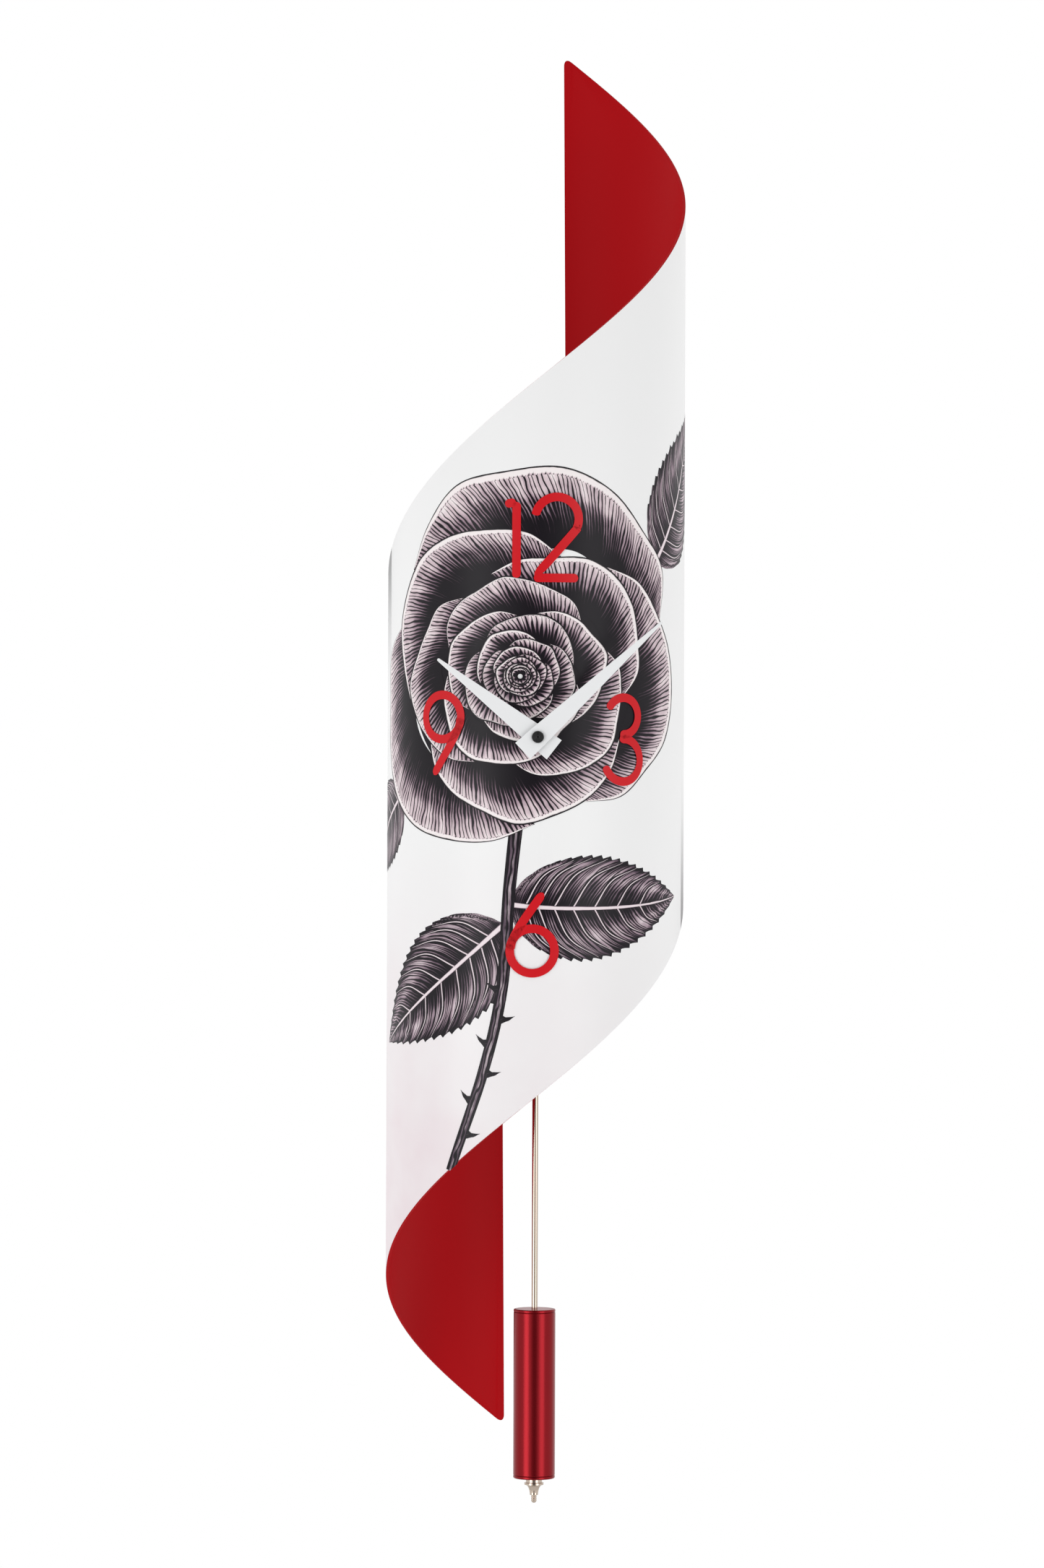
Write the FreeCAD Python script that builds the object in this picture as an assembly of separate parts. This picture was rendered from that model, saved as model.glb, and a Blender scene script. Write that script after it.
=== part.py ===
"""Pendulum wall clock: a printed sheet-steel tube with slanted ends, a quartz
pendulum movement behind its front, flat hands and a cylindrical bob.

Model frame while building: X right, Y towards the wall, Z up, with the tube's
axis on Z and the hands' arbor along Y through the origin.  Every node is moved
at export so that the row's origin is the hanging eyelet on the wall plane.
All sizes are in millimetres.
"""
import FreeCAD, Part
import math
import os
from FreeCAD import Vector

# ---- rolled sheet -----------------------------------------------------------
TUBE_R = 60.0                 # outside radius of the rolled sheet
SHEET = 1.2                   # sheet thickness
SHEET_HALF_WIDTH = 174.5      # half of the sheet's developed width
EDGE_HALF_HEIGHT = 142.8      # height of the top edge at the front centre line
EDGE_SLOPE = 0.8122           # rise of the slanted edges per unit of developed width
FLAP_LEAN = 0.008             # lean of the two back edges
CORNER = 4.0                  # setback of the rounded sheet corners
BUSH_HOLE_R = 3.9

# ---- hanging hardware -------------------------------------------------------
HANGER_Z = 126.0              # height of the hanging eyelet above the hands' arbor
STRAP_T = 1.5
STRAP_HEIGHT = 22.0
STRAP_START, STRAP_END = 149.0, 190.0    # angles from the front centre line
EYELET_R = 3.5                # bore that takes the wall nail or hook
EYELET_WALL = 0.9
PAD_R = 4.0
PAD_X = 19.0
PAD_HEIGHTS = (24.0, 250.0)   # on the right flap; mirrored through the arbor for the left
RIVET_R, RIVET_HEAD_R = 1.6, 2.8
RIVET_ANGLE, RIVET_RISES = 154.0, (-6.5, 6.5)
INNER_HEAD, OUTER_HEAD = 0.9, 0.6
GROMMET_RIM, GROMMET_RIM_T, GROMMET_LIP = 2.2, 0.5, 0.8

# ---- movement case ----------------------------------------------------------
CASE_FRONT = -50.5
CASE_BACK = -34.5
CASE_WALL = 1.2
CASE_HALF = 28.0              # the clockwork's square housing
TAIL_HALF = 18.0              # narrower housing of the pendulum drive
TAIL_BOTTOM = -72.0
CASE_CORNER = 3.0
SCREW_R, SCREW_HEAD_R, SCREW_HEAD_H, SCREW_LENGTH = 1.0, 1.9, 0.9, 7.5
SCREW_SLOT_HALF, SCREW_SLOT_DEPTH = (1.6, 0.25), 0.4
SCREW_PLACES = ((-23.5, 23.5), (23.5, 23.5), (-13.6, -67.2), (13.6, -67.2))
BOSS_R = 2.6

# ---- centre stack on the arbor ---------------------------------------------
BUSH_R, BUSH_BORE = 3.8, 2.55
BUSH_END = -62.4
WASHER_FACE = -60.7
NUT_R, NUT_T = 5.0, 1.4
NUT_SLOT_HALF, NUT_SLOT_DEPTH = 0.7, 0.7
BUSH_THREADS, BUSH_THREAD_STEP, BUSH_THREAD_DEPTH = 7, 0.5, 0.15
SEAT_WALL = 0.4               # wall of the bush's seat in the case front
SPACER_HALF_W, SPACER_HALF_H = 14.0, 12.0
SLIP = 0.05                   # running clearance on a radius
HOUR_TUBE_R, HOUR_BORE = 2.5, 1.65
MINUTE_R, MINUTE_TIP_R = 1.6, 1.2
HOUR_HAND_Y, MINUTE_HAND_Y = -63.3, -65.0
HAND_T = 0.5
CAP_R, CAP_H = 2.35, 2.6
CAP_COLLAR, CAP_POINT_R, CAP_SOCKET = 0.9, 0.45, 1.4

# ---- hands: length, tail, width at the tail, width at the hub, tip width ----
HOUR_HAND = (50.1, 8.2, 9.6, 8.3, 1.2)
MINUTE_HAND = (66.8, 8.1, 8.7, 7.9, 1.0)
HOUR_ANGLE, MINUTE_ANGLE = 307.7, 47.0   # clockwise from twelve
HUB_ABOVE = 3.0               # the hub width is reached this far past the arbor

# ---- wheels: layer mid-planes run from the case front to its back -----------
GEAR_T = 0.7
ADDENDUM, DEDENDUM = 0.6, 0.95           # tooth heights, in modules
TIP_SHARE, FOOT_SHARE = 0.10, 0.27       # half tooth widths, as shares of the pitch
LAYER_HOUR, LAYER_CANNON, LAYER_CENTRE = -48.7, -47.4, -46.1
LAYER_THIRD, LAYER_SECOND, LAYER_ROTOR = -44.9, -43.6, -42.3
PIN_R, PIN_GAP = 0.4, 0.05
HUB_WALL, SLIM_HUB_WALL = 0.45, 0.2
PLATE_FRONT, PLATE_T = -41.5, 1.0
MAGNET_RING_R, ROTOR_ARBOR_R = 2.3, 0.9
MAGNET_FRONT, MAGNET_BACK = -47.2, -45.0
NECK_R = 1.0                  # seat of the centre wheel on the minute arbor
CLUTCH_Y, CLUTCH_T, CLUTCH_R = -45.7, 0.3, 2.4
ARBOR_PIVOT_R = 0.5

# ---- motor and electronics --------------------------------------------------
STATOR_FRONT, STATOR_BACK, STATOR_BORE, STATOR_TOP = -46.6, -45.6, 2.8, 25.5
COIL_R, COIL_LENGTH, COIL_X, COIL_Z = 2.4, 14.0, -20.5, 20.0
BOARD_HALF_W, BOARD_LOW, BOARD_HIGH, BOARD_T = 19.0, 5.0, 21.0, 0.8
CRYSTAL_R, CRYSTAL_LENGTH, CRYSTAL_X, CRYSTAL_Z = 1.0, 6.0, 4.0, 8.0
CHIP_R, CHIP_T, CHIP_X, CHIP_Z = 3.2, 1.2, -6.0, 13.0
DRIVE_COIL_R, DRIVE_COIL_BORE, DRIVE_COIL_FRONT, DRIVE_COIL_BACK = 8.0, 3.2, -44.5, -37.5

# ---- setting knob, cell -----------------------------------------------------
KNOB_R, KNOB_H, KNOB_SHAFT_R, KNOB_GAP = 4.5, 4.0, 1.0, 0.4
KNOB_FLUTES, FLUTE_R = 18, 0.35
CELL_R, CELL_LENGTH = 7.1, 48.5
CELL_BUTTON_R, CELL_BUTTON_H, CELL_EDGE = 2.7, 1.4, 0.6
CELL_END_ROOM, CELL_SIDE_ROOM = 1.9, 0.3
CONTACT_T, CONTACT_HALF_H, CONTACT_GAP, CONTACT_FOOT = 0.4, 3.0, 0.2, 1.7
CELL_Y, CELL_Z = -41.9, -19.6

# ---- pendulum ---------------------------------------------------------------
PIVOT_Z = -34.0
PIVOT_R = 0.9
PIVOT_HEAD_R, HEAD_T, HEAD_GAP = 1.8, 0.6, 0.3
MAGNET_POCKET = 1.8
ARM_Y, ARM_T, ARM_W = -32.2, 2.6, 8.0
ARM_BOTTOM = -67.0
MAGNET_Z, MAGNET_R = -60.0, 3.0
PEG_Z, PEG_R = -46.0, 1.3
ROD_Y, ROD_R = -28.0, 1.2
EYE_R, EYE_WIRE = 2.1, 0.8
STUD_TOP, STUD_TIP, STUD_R = -289.0, -306.2, 1.1
BOB_R, BOB_TOP, BOB_BOTTOM = 8.35, -228.5, -296.2
BOB_WALL, CAP_T, CAP_CHAMFER = 1.0, 3.0, 0.3
GROOVE_FROM_END, GROOVE_DEPTH, GROOVE_WIDTH = 1.2, 0.25, 0.4
ROD_SLIP = 0.06               # clearance of the bob and the nut on the rod
STUD_THREADS, STUD_THREAD_STEP, STUD_THREAD_DEPTH, STUD_THREAD_WIDTH = 22, 0.7, 0.12, 0.3
RATING_COLLAR_R, RATING_COLLAR_T = 3.25, 1.8
RATING_FLANGE_R, RATING_FLANGE_T = 3.85, 0.9
RATING_NECK_R, RATING_H = 1.65, 6.8
RATING_STEP, RATING_HOLLOW, NUT_TOP_GAP = 0.4, (0.5, 1.6), 0.05

EXPORT_MOVE = Vector(0, -TUBE_R, -HANGER_Z)
BACK = Vector(0, 1, 0)
UP = Vector(0, 0, 1)
FAR = 200.0                   # reach of a cutting tool past every part


def save(node, shape):
    """Write one node, moved so that the origin is the hanging eyelet."""
    moved = shape.copy()
    moved.translate(EXPORT_MOVE)
    moved.exportStep("parts/%s.step" % node)


def disc(radius, y_from, y_to, x=0.0, z=0.0):
    """Cylinder along Y between two depths."""
    return Part.makeCylinder(radius, y_to - y_from, Vector(x, y_from, z), BACK)


def ring(outer, inner, y_from, y_to, x=0.0, z=0.0):
    return disc(outer, y_from, y_to, x, z).cut(disc(inner, y_from - 1, y_to + 1, x, z))


def bore(radius, x=0.0, z=0.0):
    """Cutting cylinder along Y that passes right through a part."""
    return disc(radius, -FAR, FAR, x, z)


def block(x_range, y_range, z_range):
    size = [high - low for low, high in (x_range, y_range, z_range)]
    return Part.makeBox(*size, Vector(x_range[0], y_range[0], z_range[0]))


def upright(radius, z_from, z_to, y=ROD_Y):
    """Cylinder along Z on the pendulum's centre line."""
    return Part.makeCylinder(radius, z_to - z_from, Vector(0, y, z_from), UP)


def around_tube(radius, angle):
    """Point at an angle from the front centre line, positive to the right."""
    turn = math.radians(angle)
    return Vector(radius * math.sin(turn), -radius * math.cos(turn), 0)


# ---- sheet ------------------------------------------------------------------
def sheet_corners():
    """Developed corners, counter-clockwise: width along the sheet and height."""
    corners = []
    for side, end in ((-1, -1), (1, -1), (1, 1), (-1, 1)):
        width = side * SHEET_HALF_WIDTH
        height = end * EDGE_HALF_HEIGHT + EDGE_SLOPE * width
        corners.append((width + FLAP_LEAN * height, height))
    return corners


def toward(start, end, distance):
    length = math.dist(start, end)
    return tuple(a + (b - a) * distance / length for a, b in zip(start, end))


def sheet_outline(surface):
    """Edges of the sheet's outline, laid on the tube's surface, with rounded corners."""
    def on_surface(point):
        return FreeCAD.Base.Vector2d(math.pi + point[0] / TUBE_R, point[1])

    corners = sheet_corners()
    edges = []
    for index, corner in enumerate(corners):
        before, after = corners[index - 1], corners[(index + 1) % 4]
        entry, leave = toward(corner, before, CORNER), toward(corner, after, CORNER)
        bend = Part.Geom2d.BezierCurve2d()
        bend.setPoles([on_surface(point) for point in (entry, corner, leave)])
        edges.append(bend.toShape(surface))
        side = Part.Geom2d.Line2dSegment(on_surface(leave), on_surface(toward(after, corner, CORNER)))
        edges.append(side.toShape(surface))
    return edges


def shell_sheet():
    """The outline on the tube's outside, thickened inwards and pierced for the bush."""
    surface = Part.Cylinder()
    surface.Radius = TUBE_R
    surface.rotate(FreeCAD.Placement(Vector(), FreeCAD.Rotation(UP, 90)))
    skin = Part.Face(surface, Part.Wire(sheet_outline(surface)))
    skin.validate()
    wall = skin.makeOffsetShape(-SHEET, 1e-3, fill=True)
    for hole in rivet_places():
        wall = wall.cut(rivet_shank(*hole))
    return wall.cut(disc(BUSH_HOLE_R, -FAR, 0))


# ---- hanging hardware -------------------------------------------------------
def tube_arc(outer, inner, z_from, z_to, start, end):
    """Part of a tube between two angles from the front centre line."""
    height = z_to - z_from
    wide = Part.makeCylinder(outer, height, Vector(0, 0, z_from), UP, end - start)
    core = Part.makeCylinder(inner, height, Vector(0, 0, z_from), UP, end - start)
    arc = wide.cut(core)
    arc.rotate(Vector(), UP, start - 90)
    return arc


def hanger_strap():
    outer = TUBE_R - SHEET
    strap = tube_arc(outer, outer - STRAP_T, HANGER_Z - STRAP_HEIGHT / 2,
                     HANGER_Z + STRAP_HEIGHT / 2, STRAP_START, STRAP_END)
    strap = strap.cut(bore(EYELET_R + EYELET_WALL, 0, HANGER_Z))
    for hole in rivet_places():
        strap = strap.cut(rivet_shank(*hole))
    return strap


def hanger_eyelet():
    """Grommet whose bore takes the wall nail and whose rim lies on the wall plane."""
    inside = TUBE_R - SHEET - STRAP_T - GROMMET_LIP
    body = disc(EYELET_R + EYELET_WALL, inside, TUBE_R, 0, HANGER_Z)
    front_rim = disc(EYELET_R + GROMMET_RIM, inside, inside + GROMMET_RIM_T, 0, HANGER_Z)
    return body.fuse(front_rim).cut(bore(EYELET_R, 0, HANGER_Z)).removeSplitter()


def rivet_places():
    return [(RIVET_ANGLE, HANGER_Z + rise) for rise in RIVET_RISES]


def rivet_shank(angle, height, radius=RIVET_R, start=TUBE_R - 10, end=TUBE_R + 6):
    base = around_tube(start, angle) + Vector(0, 0, height)
    return Part.makeCylinder(radius, end - start, base, around_tube(1, angle))


def hanger_rivets():
    heads = []
    inside = TUBE_R - SHEET - STRAP_T
    for angle, height in rivet_places():
        shank = rivet_shank(angle, height, RIVET_R, inside - INNER_HEAD, TUBE_R + OUTER_HEAD)
        inner_head = rivet_shank(angle, height, RIVET_HEAD_R, inside - INNER_HEAD, inside)
        outer_head = rivet_shank(angle, height, RIVET_HEAD_R, TUBE_R, TUBE_R + OUTER_HEAD)
        heads.append(shank.fuse([inner_head, outer_head]).removeSplitter())
    return Part.makeCompound([head.cut(strap_and_sheet_walls()) for head in heads])


def strap_and_sheet_walls():
    """Curved walls that the rivet heads sit against, without the rivet holes."""
    wall = tube_arc(TUBE_R, TUBE_R - SHEET - STRAP_T, HANGER_Z - STRAP_HEIGHT, HANGER_Z + STRAP_HEIGHT,
                    RIVET_ANGLE - 20, RIVET_ANGLE + 20)
    for angle, height in rivet_places():
        wall = wall.cut(rivet_shank(angle, height))
    return wall


def wall_pads():
    """Four rubber pads that fill the space between the flaps and the wall."""
    tube = Part.makeCylinder(TUBE_R, 4 * FAR, Vector(0, 0, -2 * FAR), UP)
    pads = []
    for side in (1, -1):
        for height in PAD_HEIGHTS:
            pads.append(disc(PAD_R, TUBE_R - 10, TUBE_R, side * PAD_X, side * height).cut(tube))
    return Part.makeCompound(pads)


# ---- movement case ----------------------------------------------------------
def case_outline(inset, y_from, y_to):
    """Square housing with the narrower pendulum housing below it."""
    square = block((-CASE_HALF + inset, CASE_HALF - inset), (y_from, y_to),
                   (-CASE_HALF + inset, CASE_HALF - inset))
    tail = block((-TAIL_HALF + inset, TAIL_HALF - inset), (y_from, y_to),
                 (TAIL_BOTTOM + inset, -CASE_HALF + 2 * inset + 1))
    body = square.fuse(tail).removeSplitter()
    uprights = [edge for edge in body.Edges
                if abs(edge.BoundBox.YLength - (y_to - y_from)) < 1e-6
                and edge.BoundBox.XLength < 1e-6 and edge.BoundBox.ZLength < 1e-6]
    return body.makeFillet(max(CASE_CORNER - inset, 0.6), uprights)


def cell_opening():
    """Opening of the back cover that the cell slides out through."""
    half_x, half_z = CELL_LENGTH / 2 + CELL_END_ROOM, CELL_R + CELL_SIDE_ROOM
    return block((-half_x, half_x), (CASE_BACK - FAR, CASE_BACK + FAR), (CELL_Z - half_z, CELL_Z + half_z))


def case_front():
    shell = case_outline(0, CASE_FRONT, CASE_BACK - CASE_WALL)
    hollow = case_outline(CASE_WALL, CASE_FRONT + CASE_WALL, CASE_BACK)
    return shell.cut(hollow).cut(bore(BUSH_BORE + SEAT_WALL))


def case_back():
    cover = case_outline(0, CASE_BACK - CASE_WALL, CASE_BACK).cut(cell_opening())
    for tool in (bore(KNOB_SHAFT_R + 0.08, *KNOB_PLACE), bore(PIVOT_R, 0, PIVOT_Z), whole_screws()):
        cover = cover.cut(tool)
    return cover


def whole_screws():
    """Four countersunk screws through the back cover, before their slots."""
    screws = []
    for x, z in SCREW_PLACES:
        neck = CASE_BACK - SCREW_HEAD_H
        head = Part.makeCone(SCREW_R, SCREW_HEAD_R, SCREW_HEAD_H, Vector(x, neck, z), BACK)
        shank = disc(SCREW_R, CASE_BACK - SCREW_LENGTH, neck, x, z)
        screws.append(head.fuse(shank).removeSplitter())
    return Part.makeCompound(screws)


def case_screws():
    long_half, short_half = SCREW_SLOT_HALF
    slots = [block((x - long_half, x + long_half), (CASE_BACK - SCREW_SLOT_DEPTH, CASE_BACK + 1),
                   (z - short_half, z + short_half)) for x, z in SCREW_PLACES]
    return whole_screws().cut(Part.makeCompound(slots))


def screw_bosses():
    """Posts inside the front case that the screws bite into."""
    posts = [ring(BOSS_R, SCREW_R, CASE_FRONT + CASE_WALL, CASE_BACK - CASE_WALL, x, z)
             for x, z in SCREW_PLACES]
    return Part.makeCompound(posts)


# ---- centre stack -----------------------------------------------------------
def threaded_bush():
    """Hollow threaded bush with a flange that seats inside the case front."""
    bush = disc(BUSH_R, BUSH_END, CASE_FRONT)
    for turn in range(BUSH_THREADS):
        depth = BUSH_END + BUSH_THREAD_STEP * (turn + 1)
        bush = bush.cut(ring(BUSH_R + 1, BUSH_R - BUSH_THREAD_DEPTH, depth, depth + 0.4 * BUSH_THREAD_STEP))
    seat = disc(BUSH_BORE + SEAT_WALL, CASE_FRONT, CASE_FRONT + CASE_WALL)
    return bush.fuse(seat).cut(bore(BUSH_BORE)).removeSplitter()


def tube_core(radius, half_height=30.0):
    """Solid cylinder on the tube's axis."""
    return Part.makeCylinder(radius, 2 * half_height, Vector(0, 0, -half_height), UP)


def saddle_spacer():
    """Rubber block between the flat case front and the curved sheet."""
    pad = block((-SPACER_HALF_W, SPACER_HALF_W), (-TUBE_R, CASE_FRONT), (-SPACER_HALF_H, SPACER_HALF_H))
    return pad.common(tube_core(TUBE_R - SHEET)).cut(bore(BUSH_R + SLIP))


def saddle_washer():
    """Washer that is hollow on its back to sit on the curved sheet."""
    return disc(NUT_R, WASHER_FACE, 1 - TUBE_R).cut(tube_core(TUBE_R)).cut(bore(BUSH_R + SLIP))


def fixing_nut():
    """Thin round nut with two spanner slots."""
    nut = ring(NUT_R, BUSH_R, WASHER_FACE - NUT_T, WASHER_FACE)
    front = WASHER_FACE - NUT_T
    return nut.cut(block((-NUT_R - 1, NUT_R + 1), (front - 1, front + NUT_SLOT_DEPTH),
                         (-NUT_SLOT_HALF, NUT_SLOT_HALF)))


# ---- hands ------------------------------------------------------------------
def flat_hand(sizes, depth, bore_r, clockwise):
    """Tapered hand with a square-cut tail, turned to its place."""
    length, tail, tail_width, hub_width, tip_width = sizes
    half = [(-tail_width / 2, -tail), (-hub_width / 2, HUB_ABOVE), (-tip_width / 2, length - tip_width / 2)]
    left = [Vector(x, depth, z) for x, z in half]
    right = [Vector(-x, depth, z) for x, z in reversed(half)]
    tip = Part.Arc(left[-1], Vector(0, depth, length), right[0]).toShape()
    outline = [Part.makeLine(a, b) for a, b in zip(left, left[1:])] + [tip]
    outline += [Part.makeLine(a, b) for a, b in zip(right, right[1:] + left[:1])]
    blade = Part.Face(Part.Wire(outline)).extrude(Vector(0, -HAND_T, 0))
    blade = blade.cut(bore(bore_r))
    blade.rotate(Vector(), BACK, clockwise)
    return blade


def hand_cap():
    """Conical nut that holds the minute hand, with a raised centre point."""
    start = MINUTE_HAND_Y - HAND_T
    collar = disc(CAP_R, start - CAP_COLLAR, start)
    cone = Part.makeCone(CAP_POINT_R, CAP_R, CAP_H - CAP_COLLAR, Vector(0, start - CAP_H, 0), BACK)
    return collar.fuse(cone).cut(disc(MINUTE_TIP_R, start - CAP_SOCKET, start + 1)).removeSplitter()


# ---- wheels -----------------------------------------------------------------
class Wheel:
    """A toothed wheel: teeth, module, centre, layer and the angle of one tooth."""

    def __init__(self, teeth, module, centre, layer, phase=0.0):
        self.teeth, self.module = teeth, module
        self.centre, self.layer, self.phase = centre, layer, phase
        self.radius = teeth * module / 2

    def meshed(self, teeth, centre):
        """A wheel in mesh with this one on the given centre, at rest."""
        gap = math.dist(self.centre, centre)
        module = 2 * gap / (self.teeth + teeth)
        line = math.atan2(centre[1] - self.centre[1], centre[0] - self.centre[0])
        offset = (self.phase - line) * self.teeth / teeth
        return Wheel(teeth, module, centre, self.layer, line + math.pi - offset + math.pi / teeth)

    def solid(self):
        """Slim straight-flanked teeth, which leaves wide backlash."""
        pitch = 2 * math.pi / self.teeth
        root, tip = self.radius - DEDENDUM * self.module, self.radius + ADDENDUM * self.module
        profile = ((-FOOT_SHARE, root), (-TIP_SHARE, tip), (TIP_SHARE, tip), (FOOT_SHARE, root))
        points = []
        for tooth in range(self.teeth):
            for share, radius in profile:
                angle = self.phase + (tooth + share) * pitch
                points.append(Vector(self.centre[0] + radius * math.cos(angle), self.layer - GEAR_T / 2,
                                     self.centre[1] + radius * math.sin(angle)))
        return Part.Face(Part.makePolygon(points + points[:1])).extrude(Vector(0, GEAR_T, 0))


def beside(centre, distance, degrees):
    turn = math.radians(degrees)
    return (centre[0] + distance * math.cos(turn), centre[1] + distance * math.sin(turn))


def lay_out_train():
    """Place the wheels: motion work 1/12, going train 60 and 30 to one."""
    train = {}
    train["cannon"] = Wheel(12, 0.25, (0, 0), LAYER_CANNON)
    motion_centre = beside((0, 0), 6.0, -35)
    train["motion"] = train["cannon"].meshed(36, motion_centre)
    train["motion_pinion"] = Wheel(10, 0.24, motion_centre, LAYER_HOUR)
    train["hour"] = train["motion_pinion"].meshed(40, (0, 0))
    train["knob"] = train["motion"].meshed(14, beside(motion_centre, 6.25, -20))
    train["centre"] = Wheel(60, 0.22, (0, 0), LAYER_CENTRE)
    third_centre = beside((0, 0), 7.48, 60)
    train["third_pinion"] = train["centre"].meshed(8, third_centre)
    train["third"] = Wheel(64, 0.2, third_centre, LAYER_THIRD)
    second_centre = beside(third_centre, 7.2, 150)
    train["second_pinion"] = train["third"].meshed(8, second_centre)
    train["second"] = Wheel(60, 0.18, second_centre, LAYER_SECOND)
    idler_centre = beside(second_centre, 6.48, 200)
    train["idler_pinion"] = train["second"].meshed(12, idler_centre)
    train["idler"] = Wheel(48, 0.2, idler_centre, LAYER_ROTOR)
    train["rotor"] = train["idler"].meshed(8, beside(idler_centre, 5.6, 180))
    return train


TRAIN = lay_out_train()
KNOB_PLACE = TRAIN["knob"].centre


def wheel_pair(first, second, hub_wall=HUB_WALL):
    """Two wheels on one hollow arbor that turns on a fixed pin."""
    one, two = TRAIN[first], TRAIN[second]
    low, high = sorted((one.layer, two.layer))
    arbor = disc(PIN_R + PIN_GAP + hub_wall, low - GEAR_T / 2, high + GEAR_T / 2, *one.centre)
    body = one.solid().fuse([two.solid(), arbor])
    return body.cut(bore(PIN_R + PIN_GAP, *one.centre)).removeSplitter()


def minute_arbor():
    """Stepped shaft with the cannon pinion and the seat of the centre wheel."""
    start = MINUTE_HAND_Y - CAP_SOCKET + 0.1
    thin = disc(MINUTE_TIP_R, start, MINUTE_HAND_Y)
    thick = disc(MINUTE_R, MINUTE_HAND_Y, LAYER_HOUR)
    neck = disc(NECK_R, LAYER_HOUR, CLUTCH_Y + CLUTCH_T)
    pivot = disc(ARBOR_PIVOT_R, CLUTCH_Y, PLATE_FRONT + 0.9 * PLATE_T)
    return thick.fuse([thin, neck, pivot, TRAIN["cannon"].solid()]).removeSplitter()


def centre_wheel():
    """Wheel that drives the arbor through the clutch spring, so the hands can be set."""
    return TRAIN["centre"].solid().cut(bore(NECK_R + PIN_GAP))


def clutch_spring():
    return ring(CLUTCH_R, NECK_R, CLUTCH_Y, CLUTCH_Y + CLUTCH_T)


def hour_wheel():
    """Hour wheel on the tube that carries the hour hand."""
    tube = disc(HOUR_TUBE_R, HOUR_HAND_Y - HAND_T, LAYER_HOUR)
    return TRAIN["hour"].solid().fuse(tube).cut(bore(HOUR_BORE)).removeSplitter()


def rotor_magnet():
    return ring(MAGNET_RING_R, ROTOR_ARBOR_R, MAGNET_FRONT, MAGNET_BACK, *TRAIN["rotor"].centre)


def rotor_pinion():
    """Eight-leaf pinion behind the arbor that carries the magnet."""
    centre = TRAIN["rotor"].centre
    arbor = disc(ROTOR_ARBOR_R, MAGNET_FRONT - 0.8, LAYER_ROTOR - GEAR_T / 2, *centre)
    body = TRAIN["rotor"].solid().fuse(arbor).cut(rotor_magnet())
    return body.cut(bore(PIN_R + PIN_GAP, *centre)).removeSplitter()


def pin_places():
    """Fixed arbor pins: centre, front end, back end."""
    front, back = CASE_FRONT + CASE_WALL, PLATE_FRONT
    places = [(TRAIN[name].centre, front, back) for name in ("second", "idler", "rotor", "third")]
    return places + [(TRAIN["motion"].centre, front, LAYER_CENTRE - GEAR_T / 2 - 0.25)]


def wheel_pins():
    return Part.makeCompound([disc(PIN_R, front, back, *centre) for centre, front, back in pin_places()])


def middle_plate():
    """Plate behind the wheels, with the pivot hole of the minute arbor."""
    plate = block((-20, 20), (PLATE_FRONT, PLATE_FRONT + PLATE_T), (-2, 22))
    return plate.cut(bore(ARBOR_PIVOT_R + SLIP))


# ---- motor and electronics --------------------------------------------------
def stator():
    x, z = TRAIN["rotor"].centre
    plate = block((x - 5, x + 4), (STATOR_FRONT, STATOR_BACK), (z - 5, STATOR_TOP))
    return plate.cut(bore(STATOR_BORE, x, z))


def motor_coil():
    middle = (STATOR_FRONT + STATOR_BACK) / 2
    body = Part.makeCylinder(COIL_R, COIL_LENGTH, Vector(COIL_X, middle, COIL_Z), Vector(1, 0, 0))
    return body.cut(stator())


BOARD_FRONT = PLATE_FRONT + PLATE_T
BOARD_BACK = BOARD_FRONT + BOARD_T


def circuit_board():
    return block((-BOARD_HALF_W, BOARD_HALF_W), (BOARD_FRONT, BOARD_BACK), (BOARD_LOW, BOARD_HIGH))


def quartz_crystal():
    start = Vector(CRYSTAL_X, BOARD_BACK + CRYSTAL_R, CRYSTAL_Z)
    return Part.makeCylinder(CRYSTAL_R, CRYSTAL_LENGTH, start, Vector(1, 0, 0))


def drive_chip():
    return disc(CHIP_R, BOARD_BACK, BOARD_BACK + CHIP_T, CHIP_X, CHIP_Z)


def pendulum_coil():
    return ring(DRIVE_COIL_R, DRIVE_COIL_BORE, DRIVE_COIL_FRONT, DRIVE_COIL_BACK, 0, MAGNET_Z)


def cell_contact(side):
    """Bent spring strip at one end of the cell bay."""
    end, wall = CELL_LENGTH / 2 + CONTACT_GAP, CELL_LENGTH / 2 + CONTACT_FOOT
    root, back = CELL_Y - 5.5, CELL_Y + 4

    def strip(x_from, x_to, y_from, y_to):
        return block(sorted((side * x_from, side * x_to)), (y_from, y_to),
                     (CELL_Z - CONTACT_HALF_H, CELL_Z + CONTACT_HALF_H))

    leaf = strip(end, end + CONTACT_T, root, back)
    bend = strip(end, wall, root, root + CONTACT_T)
    return leaf.fuse([bend, strip(wall - CONTACT_T, wall, root, back)]).removeSplitter()


def battery_cell():
    half = CELL_LENGTH / 2
    along = Vector(1, 0, 0)
    can = Part.makeCylinder(CELL_R, CELL_LENGTH - CELL_BUTTON_H + 0.1, Vector(-half, CELL_Y, CELL_Z), along)
    can = can.makeFillet(CELL_EDGE, [edge for edge in can.Edges if len(edge.Vertexes) == 1])
    button = Part.makeCylinder(CELL_BUTTON_R, CELL_BUTTON_H, Vector(half - CELL_BUTTON_H, CELL_Y, CELL_Z), along)
    return can.fuse(button).removeSplitter()


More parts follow.
